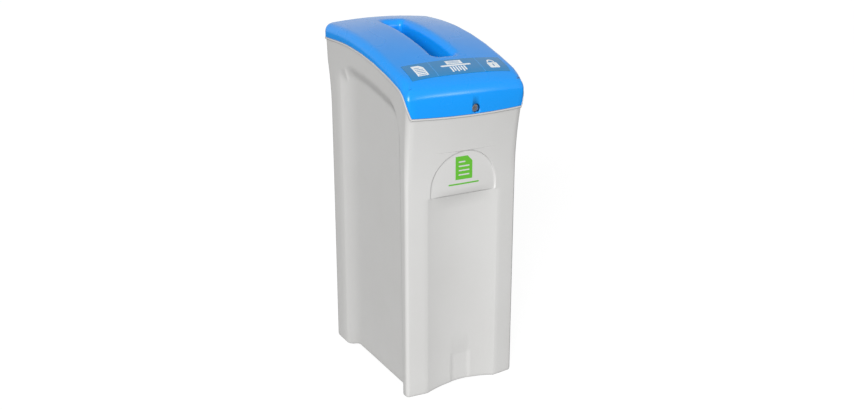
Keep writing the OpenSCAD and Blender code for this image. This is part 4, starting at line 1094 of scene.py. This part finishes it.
def direction(turn, tilt):
    """Way to a point at an azimuth, 0 at the front and 90 on the +X side, and an elevation."""
    turn, tilt = math.radians(turn), math.radians(tilt)
    return Vector((
        math.sin(turn) * math.cos(tilt), -math.cos(turn) * math.cos(tilt), math.sin(tilt)
    ))


def turn_to(holder, way):
    holder.rotation_euler = way.to_track_quat("-Z", "Y").to_euler()


def studio_floor():
    mesh = bpy.data.meshes.new("studio_floor")
    half = 40.0
    corners = [(x, y, 0) for x, y in block(-half, half, -half, half)]
    mesh.from_pydata(corners, [], [(0, 1, 2, 3)])
    finish = bpy.data.materials.new("white studio floor")
    tree = empty_tree(finish)
    out = add(tree, "ShaderNodeOutputMaterial", (600, 0))
    matte = add(tree, "ShaderNodeBsdfPrincipled", (0, -200))
    matte.inputs["Roughness"].default_value = 0.9
    matte.inputs["Specular IOR Level"].default_value = 0.0
    glow = light_source(tree, "ShaderNodeEmission", (0, 100), (1, 1, 1), 1.2)
    seen = add(tree, "ShaderNodeLightPath", (-600, 300)).outputs["Is Camera Ray"]
    shade = blend_color(tree, (-300, -200), seen, (0.35, 0.35, 0.35, 1), (0.9, 0.9, 0.9, 1))
    tree.links.new(shade, matte.inputs["Base Color"])
    share = compute(tree, (0, 300), "MULTIPLY", seen, 0.76)
    tree.links.new(mix_shaders(tree, (300, 0), share, matte.outputs[0], glow), out.inputs[0])
    mesh.materials.append(finish)
    floor = to_scene("studio_floor", mesh)


def studio_world():
    world = bpy.data.worlds.new("studio")
    bpy.context.scene.world = world
    tree = empty_tree(world)
    out = add(tree, "ShaderNodeOutputWorld", (600, 0))
    white = light_source(tree, "ShaderNodeBackground", (200, 100), (1, 1, 1), 1.0)
    fill = light_source(tree, "ShaderNodeBackground", (200, -100), (1.0, 0.99, 0.98), 0.2)
    path = add(tree, "ShaderNodeLightPath", (-400, 300)).outputs
    seen = compute(tree, (-150, 300), "MAXIMUM", path["Is Camera Ray"], path["Is Transmission Ray"])
    seen = compute(tree, (20, 300), "MAXIMUM", seen, path["Is Glossy Ray"])
    tree.links.new(mix_shaders(tree, (400, 0), seen, fill, white), out.inputs[0])


def softbox(name, at, aim, width, height, energy):
    lamp = bpy.data.lights.new(name, "AREA")
    lamp.shape = "RECTANGLE"
    lamp.size, lamp.size_y = width, height
    lamp.energy = energy
    holder = to_scene(name, lamp)
    holder.location = at
    turn_to(holder, Vector(aim) - Vector(at))


def sunlight(name, turn, tilt, strength, angle):
    """Far lamp at an azimuth and an elevation, with the angle that it seems to span."""
    lamp = bpy.data.lights.new(name, "SUN")
    lamp.energy = strength
    lamp.angle = math.radians(angle)
    holder = to_scene(name, lamp)
    way = direction(turn, tilt)
    holder.location = 4 * way
    turn_to(holder, -way)


def studio_camera():
    turn, tilt, reach = -29.348, 18.316, 2.37284
    frame_px, focal_px, sensor = 854, 956.99, 36.0
    aim = Vector((0.01793, -0.00637, 0.39787))
    at = aim + reach * direction(turn, tilt)
    lens = bpy.data.cameras.new("studio_camera")
    lens.sensor_fit = "HORIZONTAL"
    lens.sensor_width = sensor
    lens.lens = focal_px / frame_px * sensor
    camera = to_scene("studio_camera", lens)
    camera.location = at
    turn_to(camera, aim - at)
    bpy.context.scene.camera = camera


studio_floor()
studio_world()
sunlight("key_light", turn=-42, tilt=17, strength=3.35, angle=26)
softbox("strip_softbox", (1.15, -2.6, 1.45), (0, 0, 0.6), width=0.7, height=0.5, energy=14)
studio_camera()
bpy.context.scene.view_settings.view_transform = "Standard"
